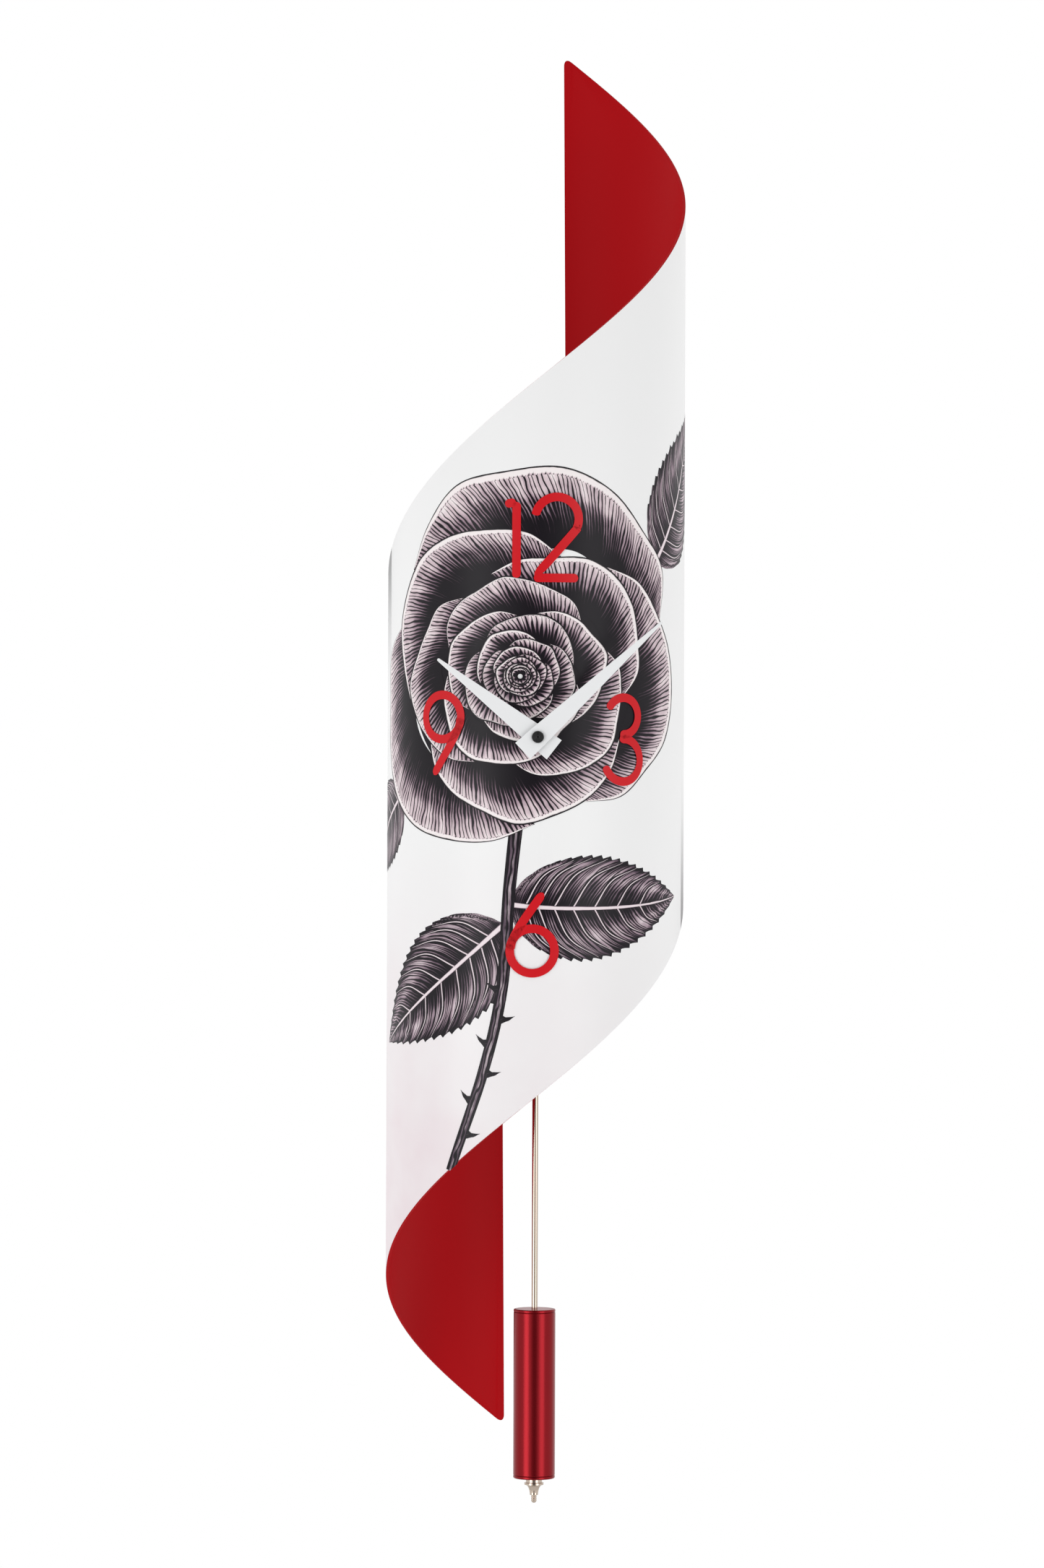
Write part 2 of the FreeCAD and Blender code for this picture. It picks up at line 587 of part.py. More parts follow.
def setting_knob():
    """Knurled knob, its shaft and its pinion in mesh with the motion wheel."""
    x, z = KNOB_PLACE
    face = CASE_BACK + KNOB_GAP
    shaft = disc(KNOB_SHAFT_R, LAYER_CANNON, face, x, z)
    knob = disc(KNOB_R, face, face + KNOB_H, x, z)
    for step in range(KNOB_FLUTES):
        knob = knob.cut(bore(FLUTE_R, *beside((x, z), KNOB_R, 360 * step / KNOB_FLUTES)))
    return knob.fuse([shaft, TRAIN["knob"].solid()]).removeSplitter()


# ---- pendulum ---------------------------------------------------------------
def pivot_pin():
    """Steel pin with a head that keeps the swing arm on."""
    under_head = ARM_Y + ARM_T / 2 + HEAD_GAP
    pin = disc(PIVOT_R, CASE_BACK - CASE_WALL, under_head + HEAD_T, 0, PIVOT_Z)
    head = disc(PIVOT_HEAD_R, under_head, under_head + HEAD_T, 0, PIVOT_Z)
    return pin.fuse(head).removeSplitter()


def swing_arm():
    """Moulded arm: pivot eye at the top, magnet pocket below, peg for the rod."""
    low, high = ARM_Y - ARM_T / 2, ARM_Y + ARM_T / 2
    plate = block((-ARM_W / 2, ARM_W / 2), (low, high), (ARM_BOTTOM + ARM_W / 2, PIVOT_Z))
    plate = plate.fuse([disc(ARM_W / 2, low, high, 0, PIVOT_Z),
                        disc(ARM_W / 2, low, high, 0, ARM_BOTTOM + ARM_W / 2)])
    under_stop = ROD_Y + EYE_WIRE + HEAD_GAP
    peg = disc(PEG_R, high, under_stop + HEAD_T, 0, PEG_Z)
    stop = disc(PEG_R + HEAD_T, under_stop, under_stop + HEAD_T, 0, PEG_Z)
    arm = plate.fuse([peg, stop]).cut(bore(PIVOT_R + PIN_GAP, 0, PIVOT_Z))
    return arm.cut(disc(MAGNET_R, low - 1, low + MAGNET_POCKET, 0, MAGNET_Z)).removeSplitter()


def arm_magnet():
    low = ARM_Y - ARM_T / 2
    return disc(MAGNET_R, low, low + MAGNET_POCKET, 0, MAGNET_Z)


def pendulum_rod():
    """Polished rod with a wire eye that hangs on the arm's peg."""
    eye_centre = PEG_Z - EYE_R + EYE_WIRE + PEG_R
    eye = Part.makeTorus(EYE_R, EYE_WIRE, Vector(0, ROD_Y, eye_centre), BACK)
    top = eye_centre - EYE_R
    return eye.fuse(upright(ROD_R, STUD_TOP, top)).removeSplitter()


def rating_stud():
    """Threaded end of the rod with a rounded tip."""
    stud = upright(STUD_R, STUD_TIP + STUD_R, STUD_TOP)
    tip = Part.makeSphere(STUD_R, Vector(0, ROD_Y, STUD_TIP + STUD_R))
    stud = stud.fuse(tip).removeSplitter()
    core = upright(STUD_R - STUD_THREAD_DEPTH, STUD_TIP - 1, STUD_TOP + 1)
    for turn in range(STUD_THREADS):
        height = STUD_TIP + STUD_R + STUD_THREAD_WIDTH + STUD_THREAD_STEP * turn
        stud = stud.cut(upright(STUD_R + 1, height, height + STUD_THREAD_WIDTH).cut(core))
    return stud


def bob_tube():
    low, high = BOB_BOTTOM + CAP_T, BOB_TOP - CAP_T
    return upright(BOB_R, low, high).cut(upright(BOB_R - BOB_WALL, low - 1, high + 1))


def bob_cap(end, inward):
    """Turned end cap with a bevel and one fine groove near its face."""
    low, high = sorted((end, end + inward * CAP_T))
    cap = upright(BOB_R, low, high)
    rim = [edge for edge in cap.Edges if len(edge.Vertexes) == 1 and abs(edge.BoundBox.ZMin - end) < 1e-6]
    cap = cap.makeChamfer(CAP_CHAMFER, rim)
    middle = end + inward * GROOVE_FROM_END
    groove = upright(BOB_R + 1, middle - GROOVE_WIDTH / 2, middle + GROOVE_WIDTH / 2)
    cap = cap.cut(groove.cut(upright(BOB_R - GROOVE_DEPTH, middle - 1, middle + 1)))
    return cap.cut(upright(ROD_R + ROD_SLIP, low - 1, high + 1))


def rating_nut():
    """Collar under the bob, a thin flange, then a hollow flare down to a narrow neck."""
    top = BOB_BOTTOM - NUT_TOP_GAP
    flange_top = BOB_BOTTOM - RATING_COLLAR_T
    flange_bottom = flange_top - RATING_FLANGE_T
    neck_bottom = BOB_BOTTOM - RATING_H
    flare_start = RATING_FLANGE_R - RATING_STEP
    out, down = RATING_HOLLOW
    flare = Part.Arc(Vector(flare_start, 0, flange_bottom), Vector(RATING_NECK_R + out, 0, flange_bottom - down),
                     Vector(RATING_NECK_R, 0, neck_bottom)).toShape()
    rest = [(RATING_NECK_R, neck_bottom), (0, neck_bottom), (0, top), (RATING_COLLAR_R, top),
            (RATING_COLLAR_R, flange_top), (RATING_FLANGE_R, flange_top),
            (RATING_FLANGE_R, flange_bottom), (flare_start, flange_bottom)]
    points = [Vector(radius, 0, height) for radius, height in rest]
    outline = Part.Wire([flare] + [Part.makeLine(one, two) for one, two in zip(points, points[1:])])
    nut = Part.Face(outline).revolve(Vector(), UP, 360)
    nut.translate(Vector(0, ROD_Y, 0))
    return nut.cut(upright(STUD_R + ROD_SLIP, STUD_TIP - 5, BOB_BOTTOM + 1))


# ---- all nodes --------------------------------------------------------------
NODES = {
    "shell_sheet": shell_sheet,
    "hanger_strap": hanger_strap,
    "hanger_eyelet": hanger_eyelet,
    "hanger_rivets": hanger_rivets,
    "wall_pads": wall_pads,
    "case_front": lambda: case_front().fuse(screw_bosses()).removeSplitter(),
    "case_back": case_back,
    "case_screws": case_screws,
    "threaded_bush": threaded_bush,
    "saddle_spacer": saddle_spacer,
    "saddle_washer": saddle_washer,
    "fixing_nut": fixing_nut,
    "middle_plate": middle_plate,
    "wheel_pins": wheel_pins,
    "stator": stator,
    "motor_coil": motor_coil,
    "circuit_board": circuit_board,
    "quartz_crystal": quartz_crystal,
    "drive_chip": drive_chip,
    "pendulum_coil": pendulum_coil,
    "contact_plus": lambda: cell_contact(1),
    "contact_minus": lambda: cell_contact(-1),
    "pivot_pin": pivot_pin,
    "minute_arbor": minute_arbor,
    "clutch_spring": clutch_spring,
    "centre_wheel": centre_wheel,
    "minute_hand": lambda: flat_hand(MINUTE_HAND, MINUTE_HAND_Y, MINUTE_TIP_R, MINUTE_ANGLE),
    "hand_cap": hand_cap,
    "hour_wheel": hour_wheel,
    "hour_hand": lambda: flat_hand(HOUR_HAND, HOUR_HAND_Y, HOUR_TUBE_R, HOUR_ANGLE),
    "motion_wheel": lambda: wheel_pair("motion", "motion_pinion"),
    "third_wheel": lambda: wheel_pair("third_pinion", "third", SLIM_HUB_WALL),
    "second_wheel": lambda: wheel_pair("second_pinion", "second", SLIM_HUB_WALL),
    "idler_wheel": lambda: wheel_pair("idler_pinion", "idler"),
    "rotor_magnet": rotor_magnet,
    "rotor_pinion": rotor_pinion,
    "setting_knob": setting_knob,
    "battery_cell": battery_cell,
    "swing_arm": swing_arm,
    "arm_magnet": arm_magnet,
    "pendulum_rod": pendulum_rod,
    "rating_stud": rating_stud,
    "bob_tube": bob_tube,
    "bob_top_cap": lambda: bob_cap(BOB_TOP, -1),
    "bob_bottom_cap": lambda: bob_cap(BOB_BOTTOM, 1),
    "rating_nut": rating_nut,
}

os.makedirs("parts", exist_ok=True)
for node, make in NODES.items():
    shape = make()
    save(node, shape)
    print("%-16s solids %d volume %9.1f valid %s" % (node, len(shape.Solids), shape.Volume, shape.isValid()))
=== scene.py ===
import math
import random

import bmesh
import bpy
from mathutils import Matrix, Vector


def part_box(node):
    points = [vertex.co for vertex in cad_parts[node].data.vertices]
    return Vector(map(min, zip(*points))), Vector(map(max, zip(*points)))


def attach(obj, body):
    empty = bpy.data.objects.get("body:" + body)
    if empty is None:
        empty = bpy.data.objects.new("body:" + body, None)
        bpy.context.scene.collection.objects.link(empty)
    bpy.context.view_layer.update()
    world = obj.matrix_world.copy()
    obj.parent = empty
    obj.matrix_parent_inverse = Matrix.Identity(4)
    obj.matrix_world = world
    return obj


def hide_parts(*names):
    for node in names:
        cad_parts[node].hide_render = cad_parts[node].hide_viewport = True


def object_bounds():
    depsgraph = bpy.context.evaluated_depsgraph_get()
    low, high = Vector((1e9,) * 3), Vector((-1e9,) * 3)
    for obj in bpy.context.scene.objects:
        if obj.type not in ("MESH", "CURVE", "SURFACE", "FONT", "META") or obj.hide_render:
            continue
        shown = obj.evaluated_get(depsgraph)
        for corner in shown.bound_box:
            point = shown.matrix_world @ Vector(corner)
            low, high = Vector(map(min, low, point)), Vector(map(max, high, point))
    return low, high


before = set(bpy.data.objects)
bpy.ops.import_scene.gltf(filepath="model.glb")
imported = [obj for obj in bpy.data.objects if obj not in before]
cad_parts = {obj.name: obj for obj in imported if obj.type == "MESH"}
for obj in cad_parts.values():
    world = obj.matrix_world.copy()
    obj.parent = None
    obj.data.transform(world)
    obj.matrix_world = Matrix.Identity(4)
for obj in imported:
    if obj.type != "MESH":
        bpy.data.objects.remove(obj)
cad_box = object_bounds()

# ---------------------------------------------------------------------------
# The rolled body.  One 1.2 mm steel sheet is cut as a leaning parallelogram,
# its corners are rounded, and it is rolled into a tube that stays open at the
# back.  The outside is stoved white enamel, the inside and the cut edge are
# red lacquer.
# ---------------------------------------------------------------------------
mm = 0.001
sheet_low, sheet_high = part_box("shell_sheet")
cap_low, cap_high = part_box("hand_cap")
tube_radius = (sheet_high.x - sheet_low.x) / 2
tube_y = sheet_low.y + tube_radius
arbor_z = (cap_low.z + cap_high.z) / 2
sheet_thickness = 1.2 * mm
sheet_half_width = 174.5 * mm
edge_half_height = 142.8 * mm
edge_slope = 0.8122
flap_lean = 0.008
corner_setback = 4.0 * mm
strip_width = 1.5 * mm
edge_support = 0.5 * mm
rim_round = 0.15 * mm
bush_hole = 3.9 * mm
rivet_hole = 1.6 * mm
rivet_places = [(math.radians(154.0) * tube_radius, (126.0 + rise) * mm) for rise in (-6.5, 6.5)]


def add_node(tree, kind, settings=None, links=None, **fields):
    """A node with its fields, socket values and incoming links set."""
    node = tree.nodes.new(kind)
    for name, setting in fields.items():
        setattr(node, name, setting)
    for socket, setting in (settings or {}).items():
        node.inputs[socket].default_value = setting
    for socket, source in (links or {}).items():
        tree.links.new(source, node.inputs[socket])
    return node


def add_math(tree, operation, *values, clamp=False):
    """A math node whose inputs are numbers or other nodes' outputs; gives its output."""
    node = add_node(tree, "ShaderNodeMath", operation=operation, use_clamp=clamp)
    for socket, given in zip(node.inputs, values):
        if isinstance(given, (int, float)):
            socket.default_value = given
        else:
            tree.links.new(given, socket)
    return node.outputs[0]


def new_material(name, **surface):
    """A material whose Principled shader has these constant values."""
    material = bpy.data.materials.new(name)
    material.use_nodes = True
    shader = material.node_tree.nodes["Principled BSDF"]
    for socket, setting in surface.items():
        shader.inputs[socket.replace("_", " ")].default_value = setting
    return material, material.node_tree, shader


def rgb(red, green, blue):
    """Linear colour from screen values of 0 to 255."""
    screen = [channel / 255 for channel in (red, green, blue)]
    return [c / 12.92 if c <= 0.04045 else ((c + 0.055) / 1.055) ** 2.4 for c in screen] + [1.0]


def new_group(name, inputs, outputs):
    """A node group with these named inputs and outputs."""
    tree = bpy.data.node_groups.new(name, "ShaderNodeTree")
    for label, kind, start in inputs:
        tree.interface.new_socket(label, in_out="INPUT", socket_type=kind).default_value = start
    for label, kind in outputs:
        tree.interface.new_socket(label, in_out="OUTPUT", socket_type=kind)
    return tree, tree.nodes.new("NodeGroupInput").outputs, tree.nodes.new("NodeGroupOutput").inputs


def finish_group():
    """Fine unevenness of a finish: mottled brightness, roughness and a small relief."""
    tree, given, result = new_group(
        "FinishUnevenness",
        (("Colour", "NodeSocketColor", (0.8, 0.8, 0.8, 1)), ("Roughness", "NodeSocketFloat", 0.4),
         ("Grain Scale", "NodeSocketFloat", 900.0), ("Mottle", "NodeSocketFloat", 0.03),
         ("Roughness Spread", "NodeSocketFloat", 0.05), ("Stretch", "NodeSocketVector", (1, 1, 1))),
        (("Colour", "NodeSocketColor"), ("Roughness", "NodeSocketFloat"), ("Relief", "NodeSocketFloat")))
    place = add_node(tree, "ShaderNodeTexCoord").outputs["Object"]
    stretched = add_node(tree, "ShaderNodeVectorMath", operation="MULTIPLY",
                         links={0: place, 1: given["Stretch"]}).outputs[0]
    broad = add_node(tree, "ShaderNodeTexNoise", {"Scale": 38.0, "Detail": 3.0}, {"Vector": place}).outputs["Fac"]
    fine = add_node(tree, "ShaderNodeTexNoise", {"Detail": 2.0},
                    {"Vector": stretched, "Scale": given["Grain Scale"]}).outputs["Fac"]
    swing = add_math(tree, "SUBTRACT", add_math(tree, "ADD", broad, fine), 1.0)
    shade = add_math(tree, "MULTIPLY_ADD", swing, given["Mottle"], 1.0)
    colour = add_node(tree, "ShaderNodeVectorMath", operation="SCALE",
                      links={0: given["Colour"], "Scale": shade}).outputs[0]
    tree.links.new(colour, result["Colour"])
    tree.links.new(add_math(tree, "MULTIPLY_ADD", swing, given["Roughness Spread"], given["Roughness"]),
                   result["Roughness"])
    tree.links.new(fine, result["Relief"])
    return tree


unevenness = finish_group()


def finished(name, colour, roughness, grain=900.0, mottle=0.03, spread=0.05, relief=0.02,
             stretch=(1, 1, 1), **surface):
    """A finish with its own colour, grain and relief."""
    material, tree, shader = new_material(name, **surface)
    uneven = add_node(tree, "ShaderNodeGroup", node_tree=unevenness)
    for socket, setting in (("Colour", colour), ("Roughness", roughness), ("Grain Scale", grain),
                            ("Mottle", mottle), ("Roughness Spread", spread), ("Stretch", stretch)):
        uneven.inputs[socket].default_value = setting
    bump = add_node(tree, "ShaderNodeBump", {"Strength": relief, "Distance": 0.2 * mm},
                    {"Height": uneven.outputs["Relief"]})
    tree.links.new(uneven.outputs["Colour"], shader.inputs["Base Color"])
    tree.links.new(uneven.outputs["Roughness"], shader.inputs["Roughness"])
    tree.links.new(bump.outputs["Normal"], shader.inputs["Normal"])
    return material


def sheet_point(width, height, depth=0.0):
    """A point of the flat sheet rolled onto the tube, depth metres outside it."""
    turn = width / tube_radius
    radius = tube_radius + depth
    return Vector((radius * math.sin(turn), tube_y - radius * math.cos(turn), arbor_z + height))


def roll_up(bm):
    """Rolls a flat bmesh, with X along the sheet, Z up and -Y out, onto the tube."""
    for vert in bm.verts:
        vert.co = sheet_point(vert.co.x, vert.co.z, -vert.co.y)


def cut_flat(bm, place, normal, clear=False):
    """Cuts flat faces along a line, and drops what lies beyond it if asked to."""
    everything = bm.verts[:] + bm.edges[:] + bm.faces[:]
    bmesh.ops.bisect_plane(bm, geom=everything, plane_co=place, plane_no=normal, clear_outer=clear)


def make_object(name, bm, *materials, crease=None):
    """An object from a bmesh, smooth all over but for edges sharper than the crease, in degrees."""
    mesh = bpy.data.meshes.new(name)
    for face in bm.faces:
        face.smooth = True
    bm.to_mesh(mesh)
    bm.free()
    if crease:
        mesh.set_sharp_from_angle(angle=math.radians(crease))
    for material in materials:
        mesh.materials.append(material)
    piece = bpy.data.objects.new(name, mesh)
    bpy.context.scene.collection.objects.link(piece)
    return piece


def sheet_corner(side, end):
    height = end * edge_half_height + edge_slope * side * sheet_half_width
    return Vector((side * sheet_half_width + flap_lean * height, 0, height))


def ring_of_verts(bm, middle, radius, count=40):
    turns = [2 * math.pi * index / count for index in range(count)]
    verts = [bm.verts.new((middle[0] + radius * math.cos(t), 0, middle[1] + radius * math.sin(t))) for t in turns]
    return [bm.edges.new((verts[index - 1], verts[index])) for index in range(count)]


def flat_sheet():
    """The cut sheet before rolling, with rounded corners and its bush and rivet holes."""
    bm = bmesh.new()
    corners = [bm.verts.new(sheet_corner(*place)) for place in ((-1, -1), (1, -1), (1, 1), (-1, 1))]
    bm.faces.new(corners)
    bmesh.ops.bevel(bm, geom=corners, offset=corner_setback, affect="VERTICES", segments=8,
                    profile=0.5, material=-1)
    bmesh.ops.delete(bm, geom=bm.faces[:], context="FACES_ONLY")
    holes = ring_of_verts(bm, (0, 0), bush_hole)
    for place in rivet_places:
        holes += ring_of_verts(bm, place, rivet_hole, 24)
    bmesh.ops.triangle_fill(bm, edges=bm.edges[:], use_beauty=True, normal=(0, -1, 0))
    return bm


def enamel_with_tint():
    """White enamel that the print tints faintly pink low on its left side."""
    material = finished("white_enamel", rgb(245, 245, 245), 0.36, grain=1400.0, mottle=0.006, relief=0.03,
                        Specular_IOR_Level=0.22)
    tree = material.node_tree
    base = tree.nodes["Principled BSDF"].inputs["Base Color"]
    plain = base.links[0].from_socket
    place = add_node(tree, "ShaderNodeTexCoord").outputs["Object"]
    axes = add_node(tree, "ShaderNodeSeparateXYZ", links={0: place}).outputs
    lowness = add_node(tree, "ShaderNodeMapRange", {"From Min": arbor_z - 0.04, "From Max": arbor_z - 0.20,
                                                    "To Min": 0.0, "To Max": 1.0}, {"Value": axes["Z"]}).outputs[0]
    leftness = add_node(tree, "ShaderNodeMapRange", {"From Min": 0.05, "From Max": -tube_radius,
                                                     "To Min": 0.25, "To Max": 1.0}, {"Value": axes["X"]}).outputs[0]
    cloud = add_node(tree, "ShaderNodeTexNoise", {"Scale": 30.0, "Detail": 3.0}, {"Vector": place}).outputs["Fac"]
    amount = add_math(tree, "MULTIPLY", add_math(tree, "MULTIPLY", lowness, leftness), cloud, clamp=True)
    tinted = add_node(tree, "ShaderNodeMix", {7: rgb(226, 200, 208)}, {0: amount, 6: plain}, data_type="RGBA")
    tree.links.new(tinted.outputs[2], base)
    return material


enamel = enamel_with_tint()
lacquer = finished("red_lacquer", rgb(171, 7, 16), 0.42, grain=1200.0, mottle=0.03, relief=0.03,
                   Specular_IOR_Level=0.06)

bm = flat_sheet()
strips = int(2 * sheet_half_width / strip_width)
for index in range(-strips // 2 - 1, strips // 2 + 2):
    cut_flat(bm, (index * strip_width, 0, 0), (1, 0, 0))
for end in (1, -1):
    cut_flat(bm, (0, 0, end * (edge_half_height - edge_support)), (-edge_slope, 0, 1))
    cut_flat(bm, (end * (sheet_half_width - edge_support), 0, 0), (1, 0, -flap_lean))
roll_up(bm)
bmesh.ops.recalc_face_normals(bm, faces=bm.faces[:])
if sum(face.normal.y for face in bm.faces if face.calc_center_median().y < tube_y) > 0:
    bmesh.ops.reverse_faces(bm, faces=bm.faces[:])
bmesh.ops.solidify(bm, geom=bm.faces[:], thickness=sheet_thickness)
axis_at = Vector((0, tube_y, 0))
for vert in bm.verts:
    out = vert.co - axis_at
    out.z = 0
    if out.length > tube_radius + sheet_thickness / 2:
        vert.co -= out.normalized() * sheet_thickness
bmesh.ops.recalc_face_normals(bm, faces=bm.faces[:])
for face in bm.faces:
    middle = face.calc_center_median() - axis_at
    middle.z = 0
    outside = face.normal.dot(middle) > 0 and middle.length > tube_radius - 0.3 * sheet_thickness
    face.material_index = 0 if outside else 1
rim_edges = [edge for edge in bm.edges if len(edge.link_faces) == 2 and edge.calc_face_angle() > 1.2]
bmesh.ops.bevel(bm, geom=rim_edges, offset=rim_round, affect="EDGES", segments=2, profile=0.5, material=-1)
rolled_sheet = make_object("rolled_sheet", bm, enamel, lacquer)
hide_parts("shell_sheet")
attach(rolled_sheet, "case")

# ---------------------------------------------------------------------------
# The printed drawing, shared tools.  A generic engraved rose is printed on the
# flat enamel in dark ink over mauve washes before the sheet is rolled, so each
# shape is a paper-thin film, drawn flat, trimmed to the sheet's edges and rolled.
# ---------------------------------------------------------------------------
film_start, film_step = 0.03 * mm, 0.006 * mm
film_grid = 1.5
trim_in = 0.2 * mm


def spline(points, share):
    """Point at a share of the way along a smooth curve through the given points."""
    place = min(max(share, 0.0), 1.0) * (len(points) - 1)
    start = min(int(place), len(points) - 2)
    t = place - start
    one, two = points[start], points[start + 1]
    before = points[start - 1] if start else 2 * one - two
    after = points[start + 2] if start + 2 < len(points) else 2 * two - one
    return 0.5 * (2 * one + (two - before) * t + (2 * before - 5 * one + 4 * two - after) * t * t
                  + (3 * one - before - 3 * two + after) * t * t * t)


def curve(*pairs):
    """Control points in millimetres on the flat sheet: width from the centre line, height."""
    return [Vector(pair) for pair in pairs]


def length_of(points, samples=32):
    places = [spline(points, index / samples) for index in range(samples + 1)]
    return sum((two - one).length for one, two in zip(places, places[1:]))


def profile(values, share):
    """Smooth value between evenly spaced keys."""
    place = min(max(share, 0.0), 1.0) * (len(values) - 1)
    start = min(int(place), len(values) - 2)
    t = place - start
    t = t * t * (3 - 2 * t)
    return values[start] * (1 - t) + values[start + 1] * t


def new_film():
    bm = bmesh.new()
    for name in ("flow", "tone"):
        bm.loops.layers.uv.new(name)
    return bm


def film_patch(bm, columns, rows, layer, place, marks):
    """A grid laid by place(u, v); marks(u, v) gives flow across, flow along, tone, edge distance."""
    flow, tone = bm.loops.layers.uv["flow"], bm.loops.layers.uv["tone"]
    made = bmesh.ops.create_grid(bm, x_segments=max(columns, 2), y_segments=max(rows, 1), size=0.5)["verts"]
    shares = {vert: (vert.co.x + 0.5, vert.co.y + 0.5) for vert in made}
    for vert, (u, v) in shares.items():
        point = place(u, v)
        vert.co = (point.x * mm, -film_start - layer * film_step, point.y * mm)
    faces = list({face for vert in made for face in vert.link_faces})
    for face in faces:
        for loop in face.loops:
            across, along, shade, edge = marks(*shares[loop.vert])
            loop[flow].uv = (across, along)
            loop[tone].uv = (shade, edge)
        face.normal_update()
    bmesh.ops.reverse_faces(bm, faces=[face for face in faces if face.normal.y > 0])


def petal(bm, layer, rim, root, tones, bulge=0.0, closed_ends=True, end_shade=0.5):
    """A petal from its rim to its root; the engraved lines run from one to the other."""
    wide = (length_of(rim) + length_of(root)) / 2
    deep = sum((spline(rim, share) - spline(root, share)).length for share in (0.1, 0.3, 0.5, 0.7, 0.9)) / 5

    def place(u, v):
        start, end = spline(rim, u), spline(root, u)
        along = end - start
        side = Vector((-along.y, along.x))
        return start.lerp(end, v) + side * bulge * 4 * v * (1 - v)

    def marks(u, v):
        near_end = min(u, 1 - u) if closed_ends else 1.0
        shade = profile(tones, v) - end_shade * max(0.0, 1 - near_end * 5)
        return u * wide, v * deep, shade, min(v * deep, near_end * wide)

    film_patch(bm, int(wide / film_grid) + 2, int(deep / film_grid) + 2, layer, place, marks)


def stroke(bm, layer, path, widths, tones=(0.2, 0.9, 0.2), round_ends=False, inked=True, step=0.8, across=4):
    """A brush line: widths change along its path, tones across it, and inked gives it dark edges."""
    long = length_of(path, 60)

    def place(u, v):
        ahead = spline(path, u + 0.004) - spline(path, u - 0.004)
        side = Vector((-ahead.y, ahead.x)).normalized()
        half = max(profile(widths, u) / 2, 0.01)
        if round_ends:
            left = min(min(u, 1 - u) * long / half, 1.0)
            half *= math.sqrt(1 - (1 - left) ** 2)
        return spline(path, u) + side * half * (2 * v - 1)

    def marks(u, v):
        half = profile(widths, u) / 2
        from_edge = half * (1 - abs(2 * v - 1)) if inked else film_grid
        return v * half * 2, u * long, profile(tones, v), from_edge

    film_patch(bm, int(long / step) + 2, across, layer, place, marks)


def film_object(name, bm, material):
    """Trims the flat film to the sheet's slanted edges, rolls it and fixes it to the case."""
    for end in (1, -1):
        cut_flat(bm, (0, 0, end * (edge_half_height - trim_in)), (-end * edge_slope, 0, end), clear=True)
    roll_up(bm)
    piece = make_object(name, bm, material)
    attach(piece, "case")


def engraving_group():
    """Engraved lines that swell as the tone darkens, over a wash, with an inked outline."""
    tree, given, result = new_group(
        "EngravedTone",
        (("Pitch", "NodeSocketFloat", 1.0), ("Outline", "NodeSocketFloat", 0.35), ("Spread", "NodeSocketFloat", 0.25)),
        (("Wash", "NodeSocketFloat"), ("Ink", "NodeSocketFloat")))
    flow_map = add_node(tree, "ShaderNodeUVMap", uv_map="flow").outputs[0]
    tone_map = add_node(tree, "ShaderNodeUVMap", uv_map="tone").outputs[0]
    flow = add_node(tree, "ShaderNodeSeparateXYZ", links={0: flow_map}).outputs
    tone = add_node(tree, "ShaderNodeSeparateXYZ", links={0: tone_map}).outputs
    eased = add_node(tree, "ShaderNodeVectorMath", {1: (0.16, 0.07, 1.0)}, {0: flow_map},
                     operation="MULTIPLY").outputs[0]
    waver = add_node(tree, "ShaderNodeTexNoise", {"Scale": 1.0, "Detail": 2.0}, {"Vector": eased}).outputs["Fac"]
    patchy = add_node(tree, "ShaderNodeTexNoise", {"Scale": 0.16, "Detail": 4.0}, {"Vector": flow_map}).outputs["Fac"]
    counted = add_math(tree, "MULTIPLY_ADD", add_math(tree, "SUBTRACT", waver, 0.5), 2.6,
                       add_math(tree, "DIVIDE", flow["X"], given["Pitch"]))
    own = add_node(tree, "ShaderNodeTexWhiteNoise", links={"W": add_math(tree, "FLOOR", counted)},
                   noise_dimensions="1D").outputs["Value"]
    off_line = add_math(tree, "ABSOLUTE", add_math(tree, "MULTIPLY_ADD", add_math(tree, "FRACT", counted), 2.0, -1.0))
    per_line = add_math(tree, "MULTIPLY", add_math(tree, "SUBTRACT", own, 0.5), given["Spread"])
    drawn = add_math(tree, "ADD", tone["X"],
                     add_math(tree, "MULTIPLY_ADD", add_math(tree, "SUBTRACT", patchy, 0.5), 0.55, per_line))
    reach = add_math(tree, "MULTIPLY_ADD", add_math(tree, "SUBTRACT", 1.0, drawn), 0.92, 0.03)
    hatch = add_node(tree, "ShaderNodeMapRange", {"To Min": 1.0, "To Max": 0.0},
                     {"Value": off_line, "From Min": add_math(tree, "SUBTRACT", reach, 0.13),
                      "From Max": add_math(tree, "ADD", reach, 0.13)}, interpolation_type="SMOOTHSTEP").outputs[0]
    line = add_math(tree, "MULTIPLY", given["Outline"], add_math(tree, "ADD", waver, 0.4))
    outline = add_node(tree, "ShaderNodeMapRange", {"To Min": 1.0, "To Max": 0.0},
                       {"Value": tone["Y"], "From Min": add_math(tree, "MULTIPLY", line, 0.75),
                        "From Max": add_math(tree, "MULTIPLY", line, 1.3)}).outputs[0]
    tree.links.new(drawn, result["Wash"])
    tree.links.new(add_math(tree, "MAXIMUM", hatch, outline, clamp=True), result["Ink"])
    return tree


engraving = engraving_group()
ink_colour = rgb(20, 15, 22)


